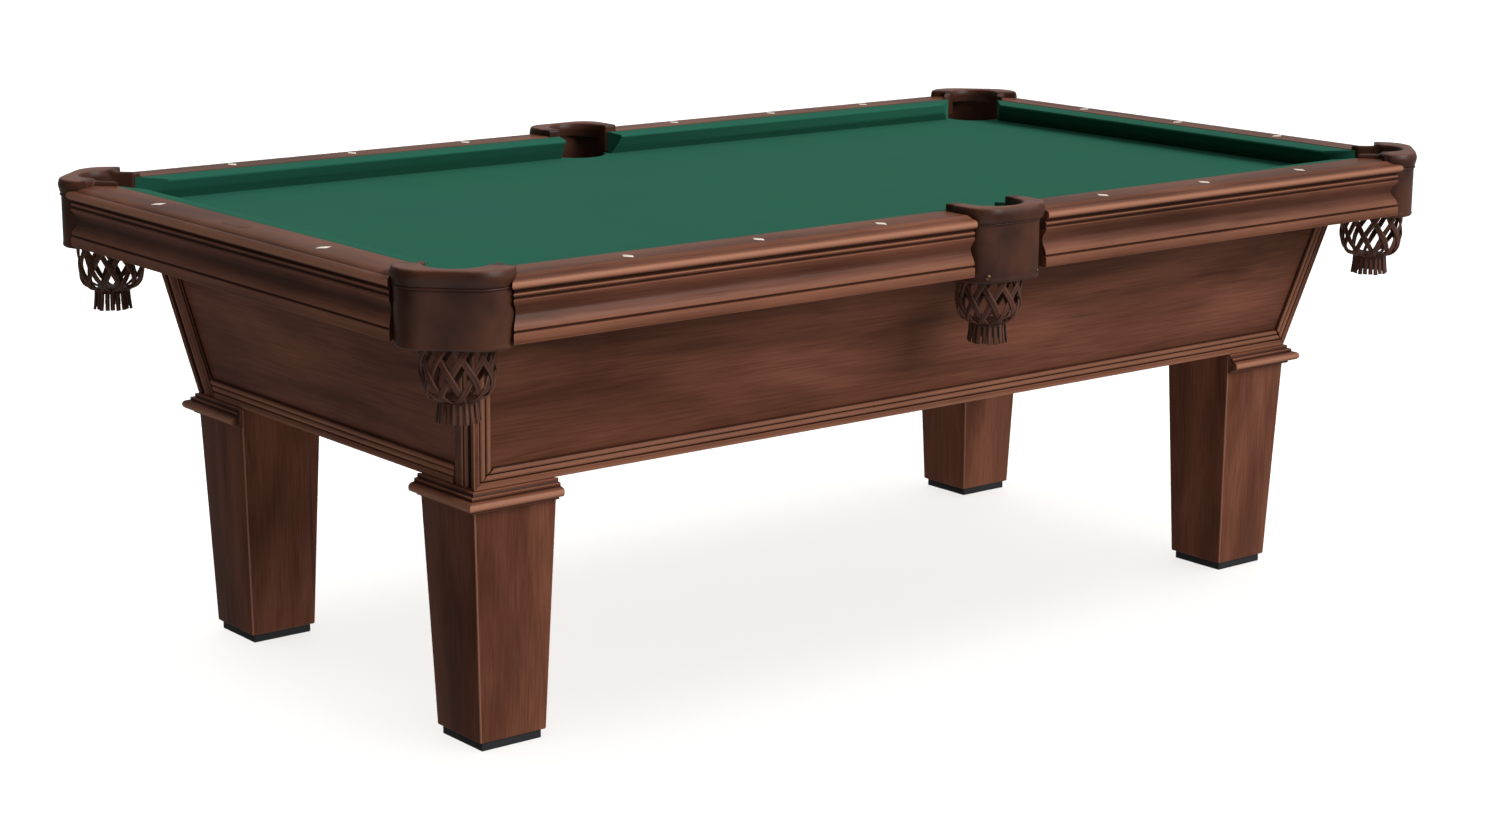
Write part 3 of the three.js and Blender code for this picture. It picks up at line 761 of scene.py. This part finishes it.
# ---------------------------------------------------------------------------------
# Pocket collars. An iron ring and its padding are covered with dark brown leather,
# pulled smooth, with a fat roll on top and a shield that hangs in front. The shield's
# hem is turned under, a welt runs below the roll, and a rivet holds the middle ones.
# ---------------------------------------------------------------------------------
ROLL_LOW = 777 * MM
WELT = 1.6 * MM  # radius of the cord sewn in under the roll
VOXEL = 2.4 * MM
PAD = 2.6 * MM  # how far the padding swells the roll
WAIST = 1.4 * MM  # how far the leather is drawn in below it
CROWN = (779, 806)  # mm, the heights that the swelling starts and ends at
WAIST_HEIGHT = 776.5
HEM = {"corner": 686, "middle": 678}  # mm, the height of a shield's lower edge
BOW = {
    "corner": {
        "half": 90 * MM, "front": 100 * MM, "round": 54 * MM, "back": 42 * MM, "inset": 2 * MM,
    },
    "middle": {
        "half": 79.4 * MM, "front": 128 * MM, "round": 42 * MM, "back": 53 * MM, "inset": 6 * MM,
    },
}
THROAT_CENTRE = {"corner": 30 * MM, "middle": 60 * MM}
POCKETS = {
    **{name: ("corner", x, y) for name, (x, y) in CORNERS.items()},
    "front_middle": ("middle", 0, -1), "back_middle": ("middle", 0, 1),
}


def dark_leather(name, grain_mm, rough):
    """Chrome-tanned cowhide, dyed dark brown and waxed: a fine pebble grain, soft clouds
    where hands have polished it, and a low shine that the grain breaks up."""
    material, shader = new_material(
        name, IOR=1.48, Coat_Weight=0.06, Coat_Roughness=0.3, Specular_IOR_Level=0.14
    )
    coordinates = add_node(material, "TexCoord")
    pebble = add_node(
        material, "TexVoronoi", {"feature": "DISTANCE_TO_EDGE"}, {"Scale": 1 / (grain_mm * MM)},
        {"Vector": coordinates.outputs["Object"]},
    )
    creases = add_node(
        material, "TexNoise", {}, {"Scale": 1 / (14 * MM), "Detail": 4.0, "Distortion": 0.8},
        {"Vector": coordinates.outputs["Object"]},
    )
    clouds = add_node(
        material, "TexNoise", {}, {"Scale": 1 / (60 * MM), "Detail": 2.0},
        {"Vector": coordinates.outputs["Object"]},
    )
    dye = add_node(material, "ValToRGB", {}, {}, {"Fac": clouds.outputs["Fac"]})
    dye.color_ramp.elements[0].position = 0.3
    dye.color_ramp.elements[0].color = rgb("2f1a12")
    dye.color_ramp.elements[1].position = 0.7
    dye.color_ramp.elements[1].color = rgb("472a1e")
    wear = add_node(
        material, "MapRange", {}, {"To Min": rough - 0.08, "To Max": rough + 0.1},
        {"Value": creases.outputs["Fac"]},
    )
    grain = add_node(
        material, "Bump", {}, {"Strength": 0.22, "Distance": 0.25 * MM},
        {"Height": pebble.outputs["Distance"]},
    )
    # The tone attribute paints 1b100d as painted shade, under the collars' rolls and down the skirt
    # straps' sides, and 7b5141 as painted highlight, on the rolls' tops, the net straps' edges and
    # the skirt straps' middles.
    feed(
        material, shader,
        Base_Color=toned(material, dye.outputs["Color"], "1b100d", "7b5141"),
        Roughness=wear.outputs["Result"], Normal=grain.outputs["Normal"],
    )
    return material


collar_leather = dark_leather("waxed_cowhide", 1.6, 0.42)
strap_leather = dark_leather("strap_cowhide", 1.3, 0.5)


def antique_brass():
    """Brass left to darken: brown in the hollows, dull gold where it is rubbed."""
    material, shader = new_material("antique_brass", Metallic=1.0, Roughness=0.38)
    coordinates = add_node(material, "TexCoord")
    tarnish = add_node(
        material, "TexNoise", {}, {"Scale": 1 / (3 * MM), "Detail": 3.0},
        {"Vector": coordinates.outputs["Object"]},
    )
    ramp = add_node(material, "ValToRGB", {}, {}, {"Fac": tarnish.outputs["Fac"]})
    ramp.color_ramp.elements[0].color = rgb("3b2d22")
    ramp.color_ramp.elements[1].color = rgb("6b563f")
    feed(material, shader, Base_Color=ramp.outputs["Color"])
    return material


brass = antique_brass()


def at_pocket(kind, x, y):
    """From a pocket's plan, drawn outwards along +X, to its place at the table."""
    if kind == "middle":
        return Matrix.Translation((0, y * NOSE_Y, 0)) @ Matrix.Rotation(y * math.pi / 2, 4, "Z")
    turn = math.atan2(y, x)
    return Matrix.Translation((x * NOSE_X, y * NOSE_Y, 0)) @ Matrix.Rotation(turn, 4, "Z")


def bow_points(kind, inset):
    """The collar's outline in plan, from one rail round the front to the other."""
    sizes = BOW[kind]
    half = sizes["half"] - inset
    front = sizes["front"] - inset
    curve = sizes["round"] - inset
    points = [(sizes["back"], -half)]
    for i in range(13):
        angle = math.radians(-90 + 7.5 * i)
        u = front - curve + curve * math.cos(angle)
        v = -half + curve + curve * math.sin(angle)
        points.append((u, v))
    return points + [(u, -v) for u, v in reversed(points)]


def cord_along(name, points, height, radius):
    """A round cord laid along points of a plan at a height, with closed ends."""
    cord = drawn(name, [(u, v, height) for u, v in points])
    bpy.ops.object.mode_set(mode="OBJECT")
    bpy.ops.object.convert(target="CURVE")
    cord.data.bevel_depth = radius
    cord.data.bevel_resolution = 2
    cord.data.use_fill_caps = True
    bpy.ops.object.convert(target="MESH")
    return bpy.context.object


def apply_modifier(piece, kind, **settings):
    """Adds a modifier with its settings and makes its result the mesh."""
    only(piece)
    modifier = piece.modifiers.new(kind.lower(), kind)
    for name, value in settings.items():
        setattr(modifier, name, value)
    bpy.ops.object.modifier_apply(modifier=modifier.name)


def ease(low, high, value):
    """0 below low, 1 above high, and smooth between."""
    share = min(1, max(0, (value - low) / (high - low)))
    return share * share * (3 - 2 * share)


def padded_collar(name):
    """The collar's shape, rounded as leather rounds, with its roll swelled."""
    collar = from_frame(f"pocket_collar_{name}", f"collar_{name}_leather")
    collar.data.remesh_voxel_size = VOXEL
    bpy.ops.object.voxel_remesh()
    apply_modifier(collar, "SMOOTH", factor=0.5, iterations=14)
    kind, x, y = POCKETS[name]
    to_plan = at_pocket(kind, x, y).inverted()
    tones = collar.data.attributes.new("tone", "FLOAT", "POINT")
    moves = []
    for vertex in collar.data.vertices:
        plan = to_plan @ vertex.co
        height = vertex.co.z / MM
        crown = math.sin(math.pi * ease(*CROWN, height)) if height > CROWN[0] else 0
        waist = math.exp(-((height - WAIST_HEIGHT) / 2.2) ** 2)
        hem = math.exp(-((height - (HEM[kind] + 4)) / 3.0) ** 2)
        clear = ease(BOW[kind]["back"] - 2 * MM, BOW[kind]["back"] + 10 * MM, plan.x)
        normal = vertex.normal
        move = clear * (PAD * crown - WAIST * waist + 0.8 * MM * hem)
        moves.append(Vector((normal.x, normal.y, 0)) * move)
        # Painted highlight on the upward faces of the roll's top, and painted shade in the waist
        # under the roll, on the front of the collar.
        top = max(0, normal.z) * ease(798, 802, height)
        tones.data[vertex.index].value = 0.55 * top * clear - 0.6 * waist * clear
    for vertex, move in zip(collar.data.vertices, moves):
        vertex.co += move
    return collar


RIVET = 5 * MM
RIVET_TURN = math.radians(30)  # round a shield's corner, from its front
RIVET_HEIGHT = 690 * MM
for name, (kind, x, y) in POCKETS.items():
    collar = padded_collar(name)
    inset = BOW[kind]["inset"] - WELT / 2
    welt = cord_along(f"collar_{name}_welt", bow_points(kind, inset), ROLL_LOW - 1 * MM, WELT)
    settle(welt, at_pocket(kind, x, y))
    whole = joined(f"collar_{name}_leather", collar, welt)
    finish_off(whole, collar_leather, replaces=[f"pocket_collar_{name}"], angle=60)
    if kind == "middle":
        pair = []
        bow = BOW[kind]
        curve = bow["round"] - bow["inset"]
        for side in (-1, 1):
            bpy.ops.object.select_all(action="DESELECT")
            bpy.ops.mesh.primitive_uv_sphere_add(segments=20, ring_count=10, radius=RIVET)
            rivet = bpy.context.object
            turn = side * RIVET_TURN
            u = bow["front"] - bow["round"] + curve * math.cos(turn)
            v = side * (bow["half"] - bow["round"]) + curve * math.sin(turn)
            flat = Matrix.Diagonal((0.4, 1, 1, 1))
            place = Matrix.Translation((u, v, RIVET_HEIGHT)) @ Matrix.Rotation(turn, 4, "Z")
            settle(rivet, at_pocket(kind, x, y) @ place @ flat)
            pair.append(rivet)
        finish_off(joined(f"rivets_{name}", *pair), brass, angle=60)

# ---------------------------------------------------------------------------------
# Pocket nets. Leather straps are woven over and under each other round the pocket,
# gathered at a neck and tied, and their ends hang below as a short skirt.
# ---------------------------------------------------------------------------------
STRAP_COUNT = 10  # each way round
STRAP_WIDTH = 9.5 * MM
STRAP_THICK = 2.4 * MM
STRAP_CROWN = 2.4 * MM
STRAP_TOP = 700 * MM
STRAIGHT_LOW = 640 * MM
NECK_HEIGHT = 605 * MM
NECK_RADIUS = 28.5 * MM
CROSSING = 27.5 * MM  # along a strap's fall, from one crossing to the next
NET_RADIUS = {"corner": 54.5 * MM, "middle": 52.5 * MM}
SKIRT_LOW = 569.5 * MM
SKIRT_STRAP = 7.8 * MM
straight = STRAP_TOP - STRAIGHT_LOW
belly = 44 * MM  # from there in to the neck, round the curve


def net_profile(kind, fall):
    """Radius and height of the net at a distance down it, and its slope there."""
    radius = NET_RADIUS[kind]
    if fall <= straight:
        return radius, STRAP_TOP - fall, (0, -1)
    turn = min(1, (fall - straight) / belly) * math.pi / 2
    r = NECK_RADIUS + (radius - NECK_RADIUS) * math.cos(turn)
    z = STRAIGHT_LOW - (STRAIGHT_LOW - NECK_HEIGHT) * math.sin(turn)
    inwards = -(radius - NECK_RADIUS) * math.sin(turn)
    down = -(STRAIGHT_LOW - NECK_HEIGHT) * math.cos(turn)
    length = math.hypot(inwards, down)
    return r, z, (inwards / length, down / length)


def woven_strap(kind, lean):
    """One strap that winds down round the pocket, in and out of those it crosses."""
    bpy.ops.object.select_all(action="DESELECT")
    bpy.ops.mesh.primitive_grid_add(x_subdivisions=4, y_subdivisions=44, size=1)
    strap = bpy.context.object
    fall_total = straight + belly
    tones = strap.data.attributes.new("tone", "FLOAT", "POINT")
    for vertex in strap.data.vertices:
        across = vertex.co.x
        fall = (vertex.co.y + 0.5) * fall_total
        crossings = fall / CROSSING
        r, z, slope = net_profile(kind, fall)
        narrow = 1 - 0.42 * ease(0.6, 1.0, fall / fall_total)
        wind = lean * math.pi / STRAP_COUNT / CROSSING  # radians per metre of fall
        run = math.hypot(r * wind, 1)
        shift = across * STRAP_WIDTH * narrow
        angle = wind * fall + shift / run / r
        fall_shift = -shift * r * wind / run
        weave = lean * 1.5 * MM * math.cos(math.pi * crossings)
        crown = (0.25 - across * across) * STRAP_CROWN
        out = r + (weave + crown) * -slope[1] + slope[0] * fall_shift
        height = z + (weave + crown) * slope[0] + slope[1] * fall_shift
        height = min(height, STRAP_TOP)
        vertex.co = (out * math.cos(angle), out * math.sin(angle), height)
        # Painted highlight along the strap's edges, and slight painted shade down its middle.
        tones.data[vertex.index].value = 0.7 * abs(across) - 0.05
    apply_modifier(strap, "SOLIDIFY", thickness=STRAP_THICK, offset=0)
    return strap


def skirt_strap(index):
    """A strap's end below the knot, hanging nearly straight, no two quite alike."""
    sway = math.sin(2.7 * index)
    length = SKIRT_LOW + 1.5 * MM * (1 + math.cos(4.1 * index)) / 2
    bpy.ops.object.select_all(action="DESELECT")
    bpy.ops.mesh.primitive_grid_add(x_subdivisions=2, y_subdivisions=6, size=1)
    strap = bpy.context.object
    turn = 2 * math.pi * index / (2 * STRAP_COUNT)
    tones = strap.data.attributes.new("tone", "FLOAT", "POINT")
    for vertex in strap.data.vertices:
        across = vertex.co.x * SKIRT_STRAP
        down = 0.5 - vertex.co.y
        height = NECK_HEIGHT + (length - NECK_HEIGHT) * down
        out = NECK_RADIUS - 1.5 * MM + (1.5 + 3.2 * down ** 1.5) * MM
        out += 0.8 * MM * math.cos(math.pi * index) + 0.15 * across * sway
        angle = turn + (across + 0.6 * MM * sway * down) / out
        vertex.co = (out * math.cos(angle), out * math.sin(angle), height)
        # Painted highlight down the strap's middle, and painted shade at its sides.
        tones.data[vertex.index].value = 0.4 - 1.5 * abs(across / SKIRT_STRAP)
    apply_modifier(strap, "SOLIDIFY", thickness=STRAP_THICK, offset=0)
    return strap


def leather_net(kind):
    """A whole net: its straps both ways round, the knot's two turns and the skirt."""
    straps = []
    for lean in (-1, 1):
        first = woven_strap(kind, lean)
        ring = [first] + [copy_of(first, "strap") for i in range(1, STRAP_COUNT)]
        for i, strap in enumerate(ring):
            settle(strap, Matrix.Rotation(2 * math.pi * i / STRAP_COUNT, 4, "Z"))
        straps += ring
    straps += [skirt_strap(i) for i in range(2 * STRAP_COUNT)]
    bpy.ops.object.select_all(action="DESELECT")
    for height in (NECK_HEIGHT - 4.5 * MM, NECK_HEIGHT - 1.5 * MM):
        bpy.ops.mesh.primitive_torus_add(
            major_radius=NECK_RADIUS + 0.6 * MM, minor_radius=1.7 * MM, location=(0, 0, height),
            major_segments=48, minor_segments=8,
        )
        bpy.ops.object.transform_apply(location=True)
        straps.append(bpy.context.object)
    bpy.ops.mesh.primitive_cylinder_add(
        vertices=32, radius=NECK_RADIUS - 1.5 * MM, depth=3 * MM, location=(0, 0, NECK_HEIGHT),
        end_fill_type="TRIFAN",
    )
    bpy.ops.object.transform_apply(location=True)
    straps.append(bpy.context.object)
    net = joined(f"net_{kind}", *straps)
    apply_modifier(net, "BEVEL", width=0.6 * MM, segments=1, limit_method="ANGLE")
    return net


net_stock = {kind: leather_net(kind) for kind in ("corner", "middle")}
for name, (kind, x, y) in POCKETS.items():
    net = copy_of(net_stock[kind], f"net_{name}_woven")
    settle(net, at_pocket(kind, x, y) @ Matrix.Translation((THROAT_CENTRE[kind], 0, 0)))
    finish_off(net, strap_leather, replaces=[f"pocket_net_{name}"], angle=50)
for net in net_stock.values():
    bpy.data.objects.remove(net)

# ---------------------------------------------------------------------------------
# Cabinet. Four wide boards lean outwards and meet in mitres at the corners. Reeded
# mouldings frame them: up the corners and along the bottom. Stained as the rails, with
# the mouldings' grooves and crests painted with shade and highlight as the rails' are.
CABINET_X = 914 * MM
CABINET_Y = 432 * MM
CABINET_LOW = 425 * MM
CABINET_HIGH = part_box("cabinet_end_left")[1].z
SLOPE_X = 0.168
SLOPE_Y = 0.266
POST_SIDE = 34  # mm of a corner moulding on a long side
POST_END = 58  # and on an end
BASE_HEIGHT = 34  # mm

for name in ("side_front", "side_back"):
    refinish(f"cabinet_{name}", wood_along_x)
for name in ("end_left", "end_right"):
    refinish(f"cabinet_{name}", wood_along_y)


def reed(start, end, foot, height, steps=8, tone=0.5):
    """Points over one rounded rib, from its start to its end, foot mm out of the board. Its
    feet are painted dark, as glaze and painted shade, and its crest lighter by tone, as
    rubbing and painted highlight.
    """
    points = []
    for i in range(steps + 1):
        share = i / steps
        angle = math.pi * share
        along = (start + end) / 2 - (end - start) / 2 * math.cos(angle)
        glow = -0.9 if i in (0, steps) else tone * math.sin(angle) ** 2
        points.append((along, foot + height * math.sin(angle) ** 0.8, glow))
    return points


def leaned(piece, x=0, y=0):
    """Leans a piece outwards with height on the sides given by x and y."""
    for vertex in piece.data.vertices:
        rise = vertex.co.z - CABINET_LOW
        vertex.co.x += x * SLOPE_X * rise
        vertex.co.y += y * SLOPE_Y * rise
    return piece


def mirrored(piece, name, x, y):
    """A copy for another corner, its faces turned outwards again."""
    opposite = copy_of(piece, name)
    settle(opposite, Matrix.Diagonal((x, y, 1, 1)))
    bpy.ops.object.mode_set(mode="EDIT")
    bpy.ops.mesh.select_all(action="SELECT")
    bpy.ops.mesh.normals_make_consistent(inside=False)
    bpy.ops.object.mode_set(mode="OBJECT")
    return opposite


def corner_outline():
    """Plan of a corner moulding as (distance out from the end's face, out from the side's
    face), both in mm and both 0 at the corner's sharp edge."""
    # The third value is the tone: the grooves painted dark, as glaze and painted shade, and the
    # ribs' crests and edges lighter, as rubbing and painted highlight.
    side = [
        (-POST_SIDE, -8, -1), (-POST_SIDE + 1, -5, -0.6),
        *reed(-POST_SIDE + 1.5, -23.5, -4.2, 3.4),
        (-23, -6, -1),
        *reed(-22.5, -12.5, -4.2, 3.6),
        (-12, -6, -1),
        (-11.4, -3, -0.7), (-10.4, -0.9, 0.4), (-8, -0.2, 0.1), (-3, -0.1, 0), (-0.8, -0.1, 0.5),
    ]
    end = [
        (-0.1, -0.8, 0.5), (-0.2, -3, 0), (-0.4, -7, 0.1), (-0.9, -8.4, 0.5), (-3, -9.4, -0.7),
        (-6.2, -10.6, -1), (-6.8, -14, -1), (-6.4, -18.5, -0.9),
        *[(out - 0.2, along, tone) for along, out, tone in reversed(reed(-30, -19.5, -4.2, 3.6))],
        (-6.2, -30.8, -1), (-6, -32, -1), (-3, -32.6, -0.5), (-1.4, -33.4, 0.9),
        (-0.9, -34.6, 0.7), (-1, -36.5, 0.1), (-1, -50, 0), (-1.4, -51.6, 0.4),
        (-3, -52.6, -0.5), (-6, -53, -1), (-6, -55, -1), (-4, -55.8, -0.2), (-3.6, -57, 0.3),
        (-5, -POST_END, -0.6), (-8, -POST_END, -1),
    ]
    return [*side, *end, (-8, -8, 0)]


def corner_moulding():
    """The moulding for the back right corner. On the long side its foot is mitred to the
    base moulding; on the end it runs down to the bottom edge."""
    piece = moulding("corner_stock", corner_outline(), 2 * (CABINET_HIGH - CABINET_LOW))
    middle = (CABINET_HIGH + CABINET_LOW) / 2
    stand = Matrix(((0, 1, 0, CABINET_X), (0, 0, 1, CABINET_Y), (1, 0, 0, middle), (0, 0, 0, 1)))
    settle(piece, stand)
    saw(piece, (0, 0, CABINET_HIGH), (0, 0, 1))
    saw(piece, (0, 0, CABINET_LOW), (0, 0, -1))
    saw(piece, (CABINET_X, 0, CABINET_LOW), (-1, 0, -1))
    return leaned(piece, 1, 1)


def base_outline():
    """Section of the base moulding, out from its face and up from its foot."""
    # The third value is the tone: the grooves painted dark, as glaze and painted shade, and the
    # ribs' crests lighter, as rubbing and painted highlight.
    return [
        (-8, 0, -0.5), (-1, 0, -0.3), (-0.3, 0.7, 0.5), (-0.2, 9, 0.1), (-0.9, 10.4, 0.4),
        (-3, 11.4, -0.7), (-6, 12, -1),
        *[(out, along, tone) for along, out, tone in reed(12.5, 22.5, -4.2, 3.6)],
        (-6, 23, -1),
        *[(out, along, tone) for along, out, tone in reed(23.5, BASE_HEIGHT - 1.5, -4.2, 3.4)],
        (-5, BASE_HEIGHT - 1, -0.6), (-8, BASE_HEIGHT, -1),
    ]


corner_stock = corner_moulding()
for name, (x, y) in CORNERS.items():
    post = mirrored(corner_stock, f"corner_moulding_{name}", x, y)
    finish_off(post, wood_upright, replaces=[f"corner_trim_{name}"])
bpy.data.objects.remove(corner_stock)

for side, y in (("back", 1), ("front", -1)):
    base = moulding(f"base_{side}_reeded", base_outline(), 2 * CABINET_X)
    settle(base, Matrix.Translation((0, CABINET_Y, CABINET_LOW)))
    for x in (-1, 1):
        saw(base, (x * CABINET_X, 0, CABINET_LOW), (x, 0, 1))
    leaned(base, 0, 1)
    settle(base, Matrix.Rotation(0 if side == "back" else math.pi, 4, "Z"))
    finish_off(base, wood_along_x, replaces=[f"base_moulding_{side}"])
for side, x in (("left", -1), ("right", 1)):
    length = 2 * (CABINET_Y - (POST_END + 0.3) * MM)
    base = moulding(f"base_{side}_reeded", base_outline(), length)
    quarter_turn = Matrix.Rotation(-math.pi / 2, 4, "Z")
    settle(base, quarter_turn @ Matrix.Translation((0, CABINET_X, CABINET_LOW)))
    leaned(base, 1, 0)
    for vertex in base.data.vertices:
        vertex.co.y += math.copysign(SLOPE_Y * (vertex.co.z - CABINET_LOW), vertex.co.y)
    settle(base, Matrix.Rotation(0 if side == "right" else math.pi, 4, "Z"))
    finish_off(base, wood_along_y, replaces=[f"base_moulding_{side}"])

# ---------------------------------------------------------------------------------
# Framing. Cross beams, the beam between them and the slats under the slates' joints
# are planed softwood, left bare. They only show from under the table.
# ---------------------------------------------------------------------------------
def bare_softwood(name, grain):
    """Planed fir: pale yellow brown, with darker growth lines along the board."""
    material, shader = new_material(name, Roughness=0.62)
    coordinates = add_node(material, "TexCoord")
    scale = [1 / (9 * MM)] * 3
    scale[grain] = 1 / (600 * MM)
    stretched = add_node(
        material, "Mapping", {}, {"Scale": scale}, {"Vector": coordinates.outputs["Object"]}
    )
    growth = add_node(
        material, "TexNoise", {}, {"Scale": 1.0, "Detail": 3.0, "Distortion": 0.5},
        {"Vector": stretched.outputs["Vector"]},
    )
    ramp = add_node(material, "ValToRGB", {}, {}, {"Fac": growth.outputs["Fac"]})
    ramp.color_ramp.elements[0].position = 0.35
    ramp.color_ramp.elements[0].color = rgb("9a7146")
    ramp.color_ramp.elements[1].position = 0.6
    ramp.color_ramp.elements[1].color = rgb("c9a273")
    ridges = add_node(
        material, "Bump", {}, {"Strength": 0.2, "Distance": 0.3 * MM},
        {"Height": growth.outputs["Fac"]},
    )
    feed(material, shader, Base_Color=ramp.outputs["Color"], Normal=ridges.outputs["Normal"])
    return material


softwood_along_x = bare_softwood("planed_softwood_long", 0)
softwood_along_y = bare_softwood("planed_softwood_across", 1)
refinish("centre_beam", softwood_along_x)
for name in ("cross_beam_left", "cross_beam_right", "joint_slat_left", "joint_slat_right"):
    refinish(name, softwood_along_y)

# ---------------------------------------------------------------------------------
# Legs. Four square tapered legs, with a moulded cap mitred round the two outer sides
# of each head, and a black foot on a screw that turns in and out to level the table.
# ---------------------------------------------------------------------------------
LEG_X = 838 * MM  # from the table's middle to a leg's
LEG_Y = 356 * MM
LEG_TOP = 76 * MM  # half the width of a leg's head
LEG_FOOT = 62 * MM  # and of its lower end
PITCH = 1.6  # mm, the levelling screw's thread
LEG_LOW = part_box("leg_back_right")[0].z
LEG_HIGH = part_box("leg_back_right")[1].z
CAP_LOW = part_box("leg_cap_back_right")[0].z
EDGE_ROUND = 2.8 * MM


def tapered_leg():
    """A leg for the back right corner: straight under the cap, tapered below it."""
    bpy.ops.object.select_all(action="DESELECT")
    bpy.ops.mesh.primitive_cube_add(size=2)
    leg = bpy.context.object
    for vertex in leg.data.vertices:
        high = vertex.co.z > 0
        half = LEG_TOP if high else LEG_FOOT
        vertex.co = (
            LEG_X + half * math.copysign(1, vertex.co.x),
            LEG_Y + half * math.copysign(1, vertex.co.y),
            CAP_LOW if high else LEG_LOW,
        )
    select_faces(leg, lambda normal: normal.z > 0.9)
    rise = (0, 0, LEG_HIGH - CAP_LOW)
    bpy.ops.mesh.extrude_region_move(TRANSFORM_OT_translate={"value": rise})
    bpy.ops.mesh.select_mode(type="VERT")
    bpy.ops.object.mode_set(mode="OBJECT")
    apply_modifier(leg, "BEVEL", width=EDGE_ROUND, segments=4, limit_method="ANGLE")
    # The rounded corners are painted lighter: painted highlight, with wear on the edges.
    tones = leg.data.attributes.new("tone", "FLOAT", "POINT")
    for vertex in leg.data.vertices:
        share = min(1, (vertex.co.z - LEG_LOW) / (CAP_LOW - LEG_LOW))
        reach = LEG_FOOT + (LEG_TOP - LEG_FOOT) * share
        corner = abs(vertex.co.x - LEG_X) + abs(vertex.co.y - LEG_Y) - 2 * reach
        tones.data[vertex.index].value = 0.6 if corner > -0.8 * EDGE_ROUND else 0
    return leg


def cap_outline():
    """Section of a cap, out from the leg and up from the cap's underside."""
    # The third value is the tone: the quirks painted dark, as glaze and painted shade, and the bead
    # and the plates' edges lighter, as rubbing and painted highlight.
    return [
        (0.2, 0, -0.6), (6.4, 0, -0.3), (7, 0.8, 0.1), (7, 5, -0.5), (9, 5.4, -0.9),
        (13.5, 6, -0.4), *round_over(14.4, 13.6, 7.6, -80, 88, 12, 0.8),
        (12, 21.6, -0.9), (11, 22.4, -0.9), (11, 26.4, 0.3), (10.2, 27.2, 0.3), (5.6, 27.6, -0.9),
        (5, 28.6, -0.8), (5, 33.2, 0.2), (4.4, 33.7, 0.2), (0.2, 33.7, 0),
    ]


def mitred_cap():
    """A cap for the back right leg: two lengths, sawn square at the leg's inner faces and
    mitred at its outer corner."""
    halves = []
    corner = Vector((LEG_X + LEG_TOP, LEG_Y + LEG_TOP, 0))
    for turn, away in ((0, (1, -1, 0)), (-90, (-1, 1, 0))):
        half = moulding("cap_stock", cap_outline(), 4 * LEG_TOP)
        centre = Matrix.Translation((LEG_X, LEG_Y, CAP_LOW))
        spin = Matrix.Rotation(math.radians(turn), 4, "Z")
        settle(half, centre @ spin @ Matrix.Translation((0, LEG_TOP, 0)))
        saw(half, corner, away)
        back = (LEG_X - LEG_TOP, 0, 0) if turn == 0 else (0, LEG_Y - LEG_TOP, 0)
        saw(half, back, (-1, 0, 0) if turn == 0 else (0, -1, 0))
        halves.append(half)
    return joined("cap_stock", *halves)


def levelling_foot():
    """A foot for the back right leg: a square rubber pad, and the screw it turns on."""
    low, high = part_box("levelling_foot_back_right")
    half = (high.x - low.x) / 2
    bpy.ops.object.select_all(action="DESELECT")
    bpy.ops.mesh.primitive_cube_add(size=1, location=(LEG_X, LEG_Y, (low.z + LEG_LOW) / 2))
    pad = bpy.context.object
    pad.scale = (2 * half, 2 * half, LEG_LOW - low.z - 0.3 * MM)
    bpy.ops.object.transform_apply(location=True, rotation=True, scale=True)
    apply_modifier(pad, "BEVEL", width=1.8 * MM, segments=3, limit_method="ANGLE")
    threads = [(0, 0)]
    height = (high.z - LEG_LOW) / MM + 1
    turns = int(height / PITCH)
    for i in range(turns):
        threads += [(4.4, i * PITCH), (5.0, i * PITCH + 0.8)]
    threads += [(4.4, turns * PITCH), (3.6, height), (0, height)]
    start = Vector((LEG_X, LEG_Y, LEG_LOW - 1 * MM))
    screw = drawn("foot_screw", [start + Vector((r, 0, z)) * MM for r, z in threads])
    bpy.ops.mesh.select_all(action="SELECT")
    bpy.ops.mesh.spin(steps=20, angle=2 * math.pi, center=start, axis=(0, 0, 1))
    bpy.ops.mesh.select_all(action="SELECT")
    bpy.ops.mesh.remove_doubles(threshold=0.01 * MM)
    bpy.ops.mesh.normals_make_consistent(inside=False)
    bpy.ops.object.mode_set(mode="OBJECT")
    return joined("foot_stock", pad, screw)


def moulded_rubber():
    """Hard black rubber from a mould: nearly matt, with a fine even stipple."""
    material, shader = new_material("moulded_rubber", Roughness=0.6, Specular_IOR_Level=0.3)
    coordinates = add_node(material, "TexCoord")
    stipple = add_node(
        material, "TexNoise", {}, {"Scale": 1 / (1.5 * MM), "Detail": 2.0},
        {"Vector": coordinates.outputs["Object"]},
    )
    ramp = add_node(material, "ValToRGB", {}, {}, {"Fac": stipple.outputs["Fac"]})
    ramp.color_ramp.elements[0].color = rgb("0e0e10")
    ramp.color_ramp.elements[1].color = rgb("1f1f22")
    fine = add_node(
        material, "Bump", {}, {"Strength": 0.2, "Distance": 0.2 * MM},
        {"Height": stipple.outputs["Fac"]},
    )
    feed(material, shader, Base_Color=ramp.outputs["Color"], Normal=fine.outputs["Normal"])
    return material


rubber = moulded_rubber()
leg_stock, cap_stock, foot_stock = tapered_leg(), mitred_cap(), levelling_foot()
for name, (x, y) in CORNERS.items():
    leg = mirrored(leg_stock, f"leg_{name}_tapered", x, y)
    finish_off(leg, wood_upright, replaces=[f"leg_{name}"])
    cap = mirrored(cap_stock, f"cap_{name}_moulded", x, y)
    finish_off(cap, wood_along_x, replaces=[f"leg_cap_{name}"])
    foot = mirrored(foot_stock, f"foot_{name}_pad", x, y)
    finish_off(foot, rubber, f"foot_{name}", replaces=[f"levelling_foot_{name}"])
for piece in (leg_stock, cap_stock, foot_stock):
    bpy.data.objects.remove(piece)
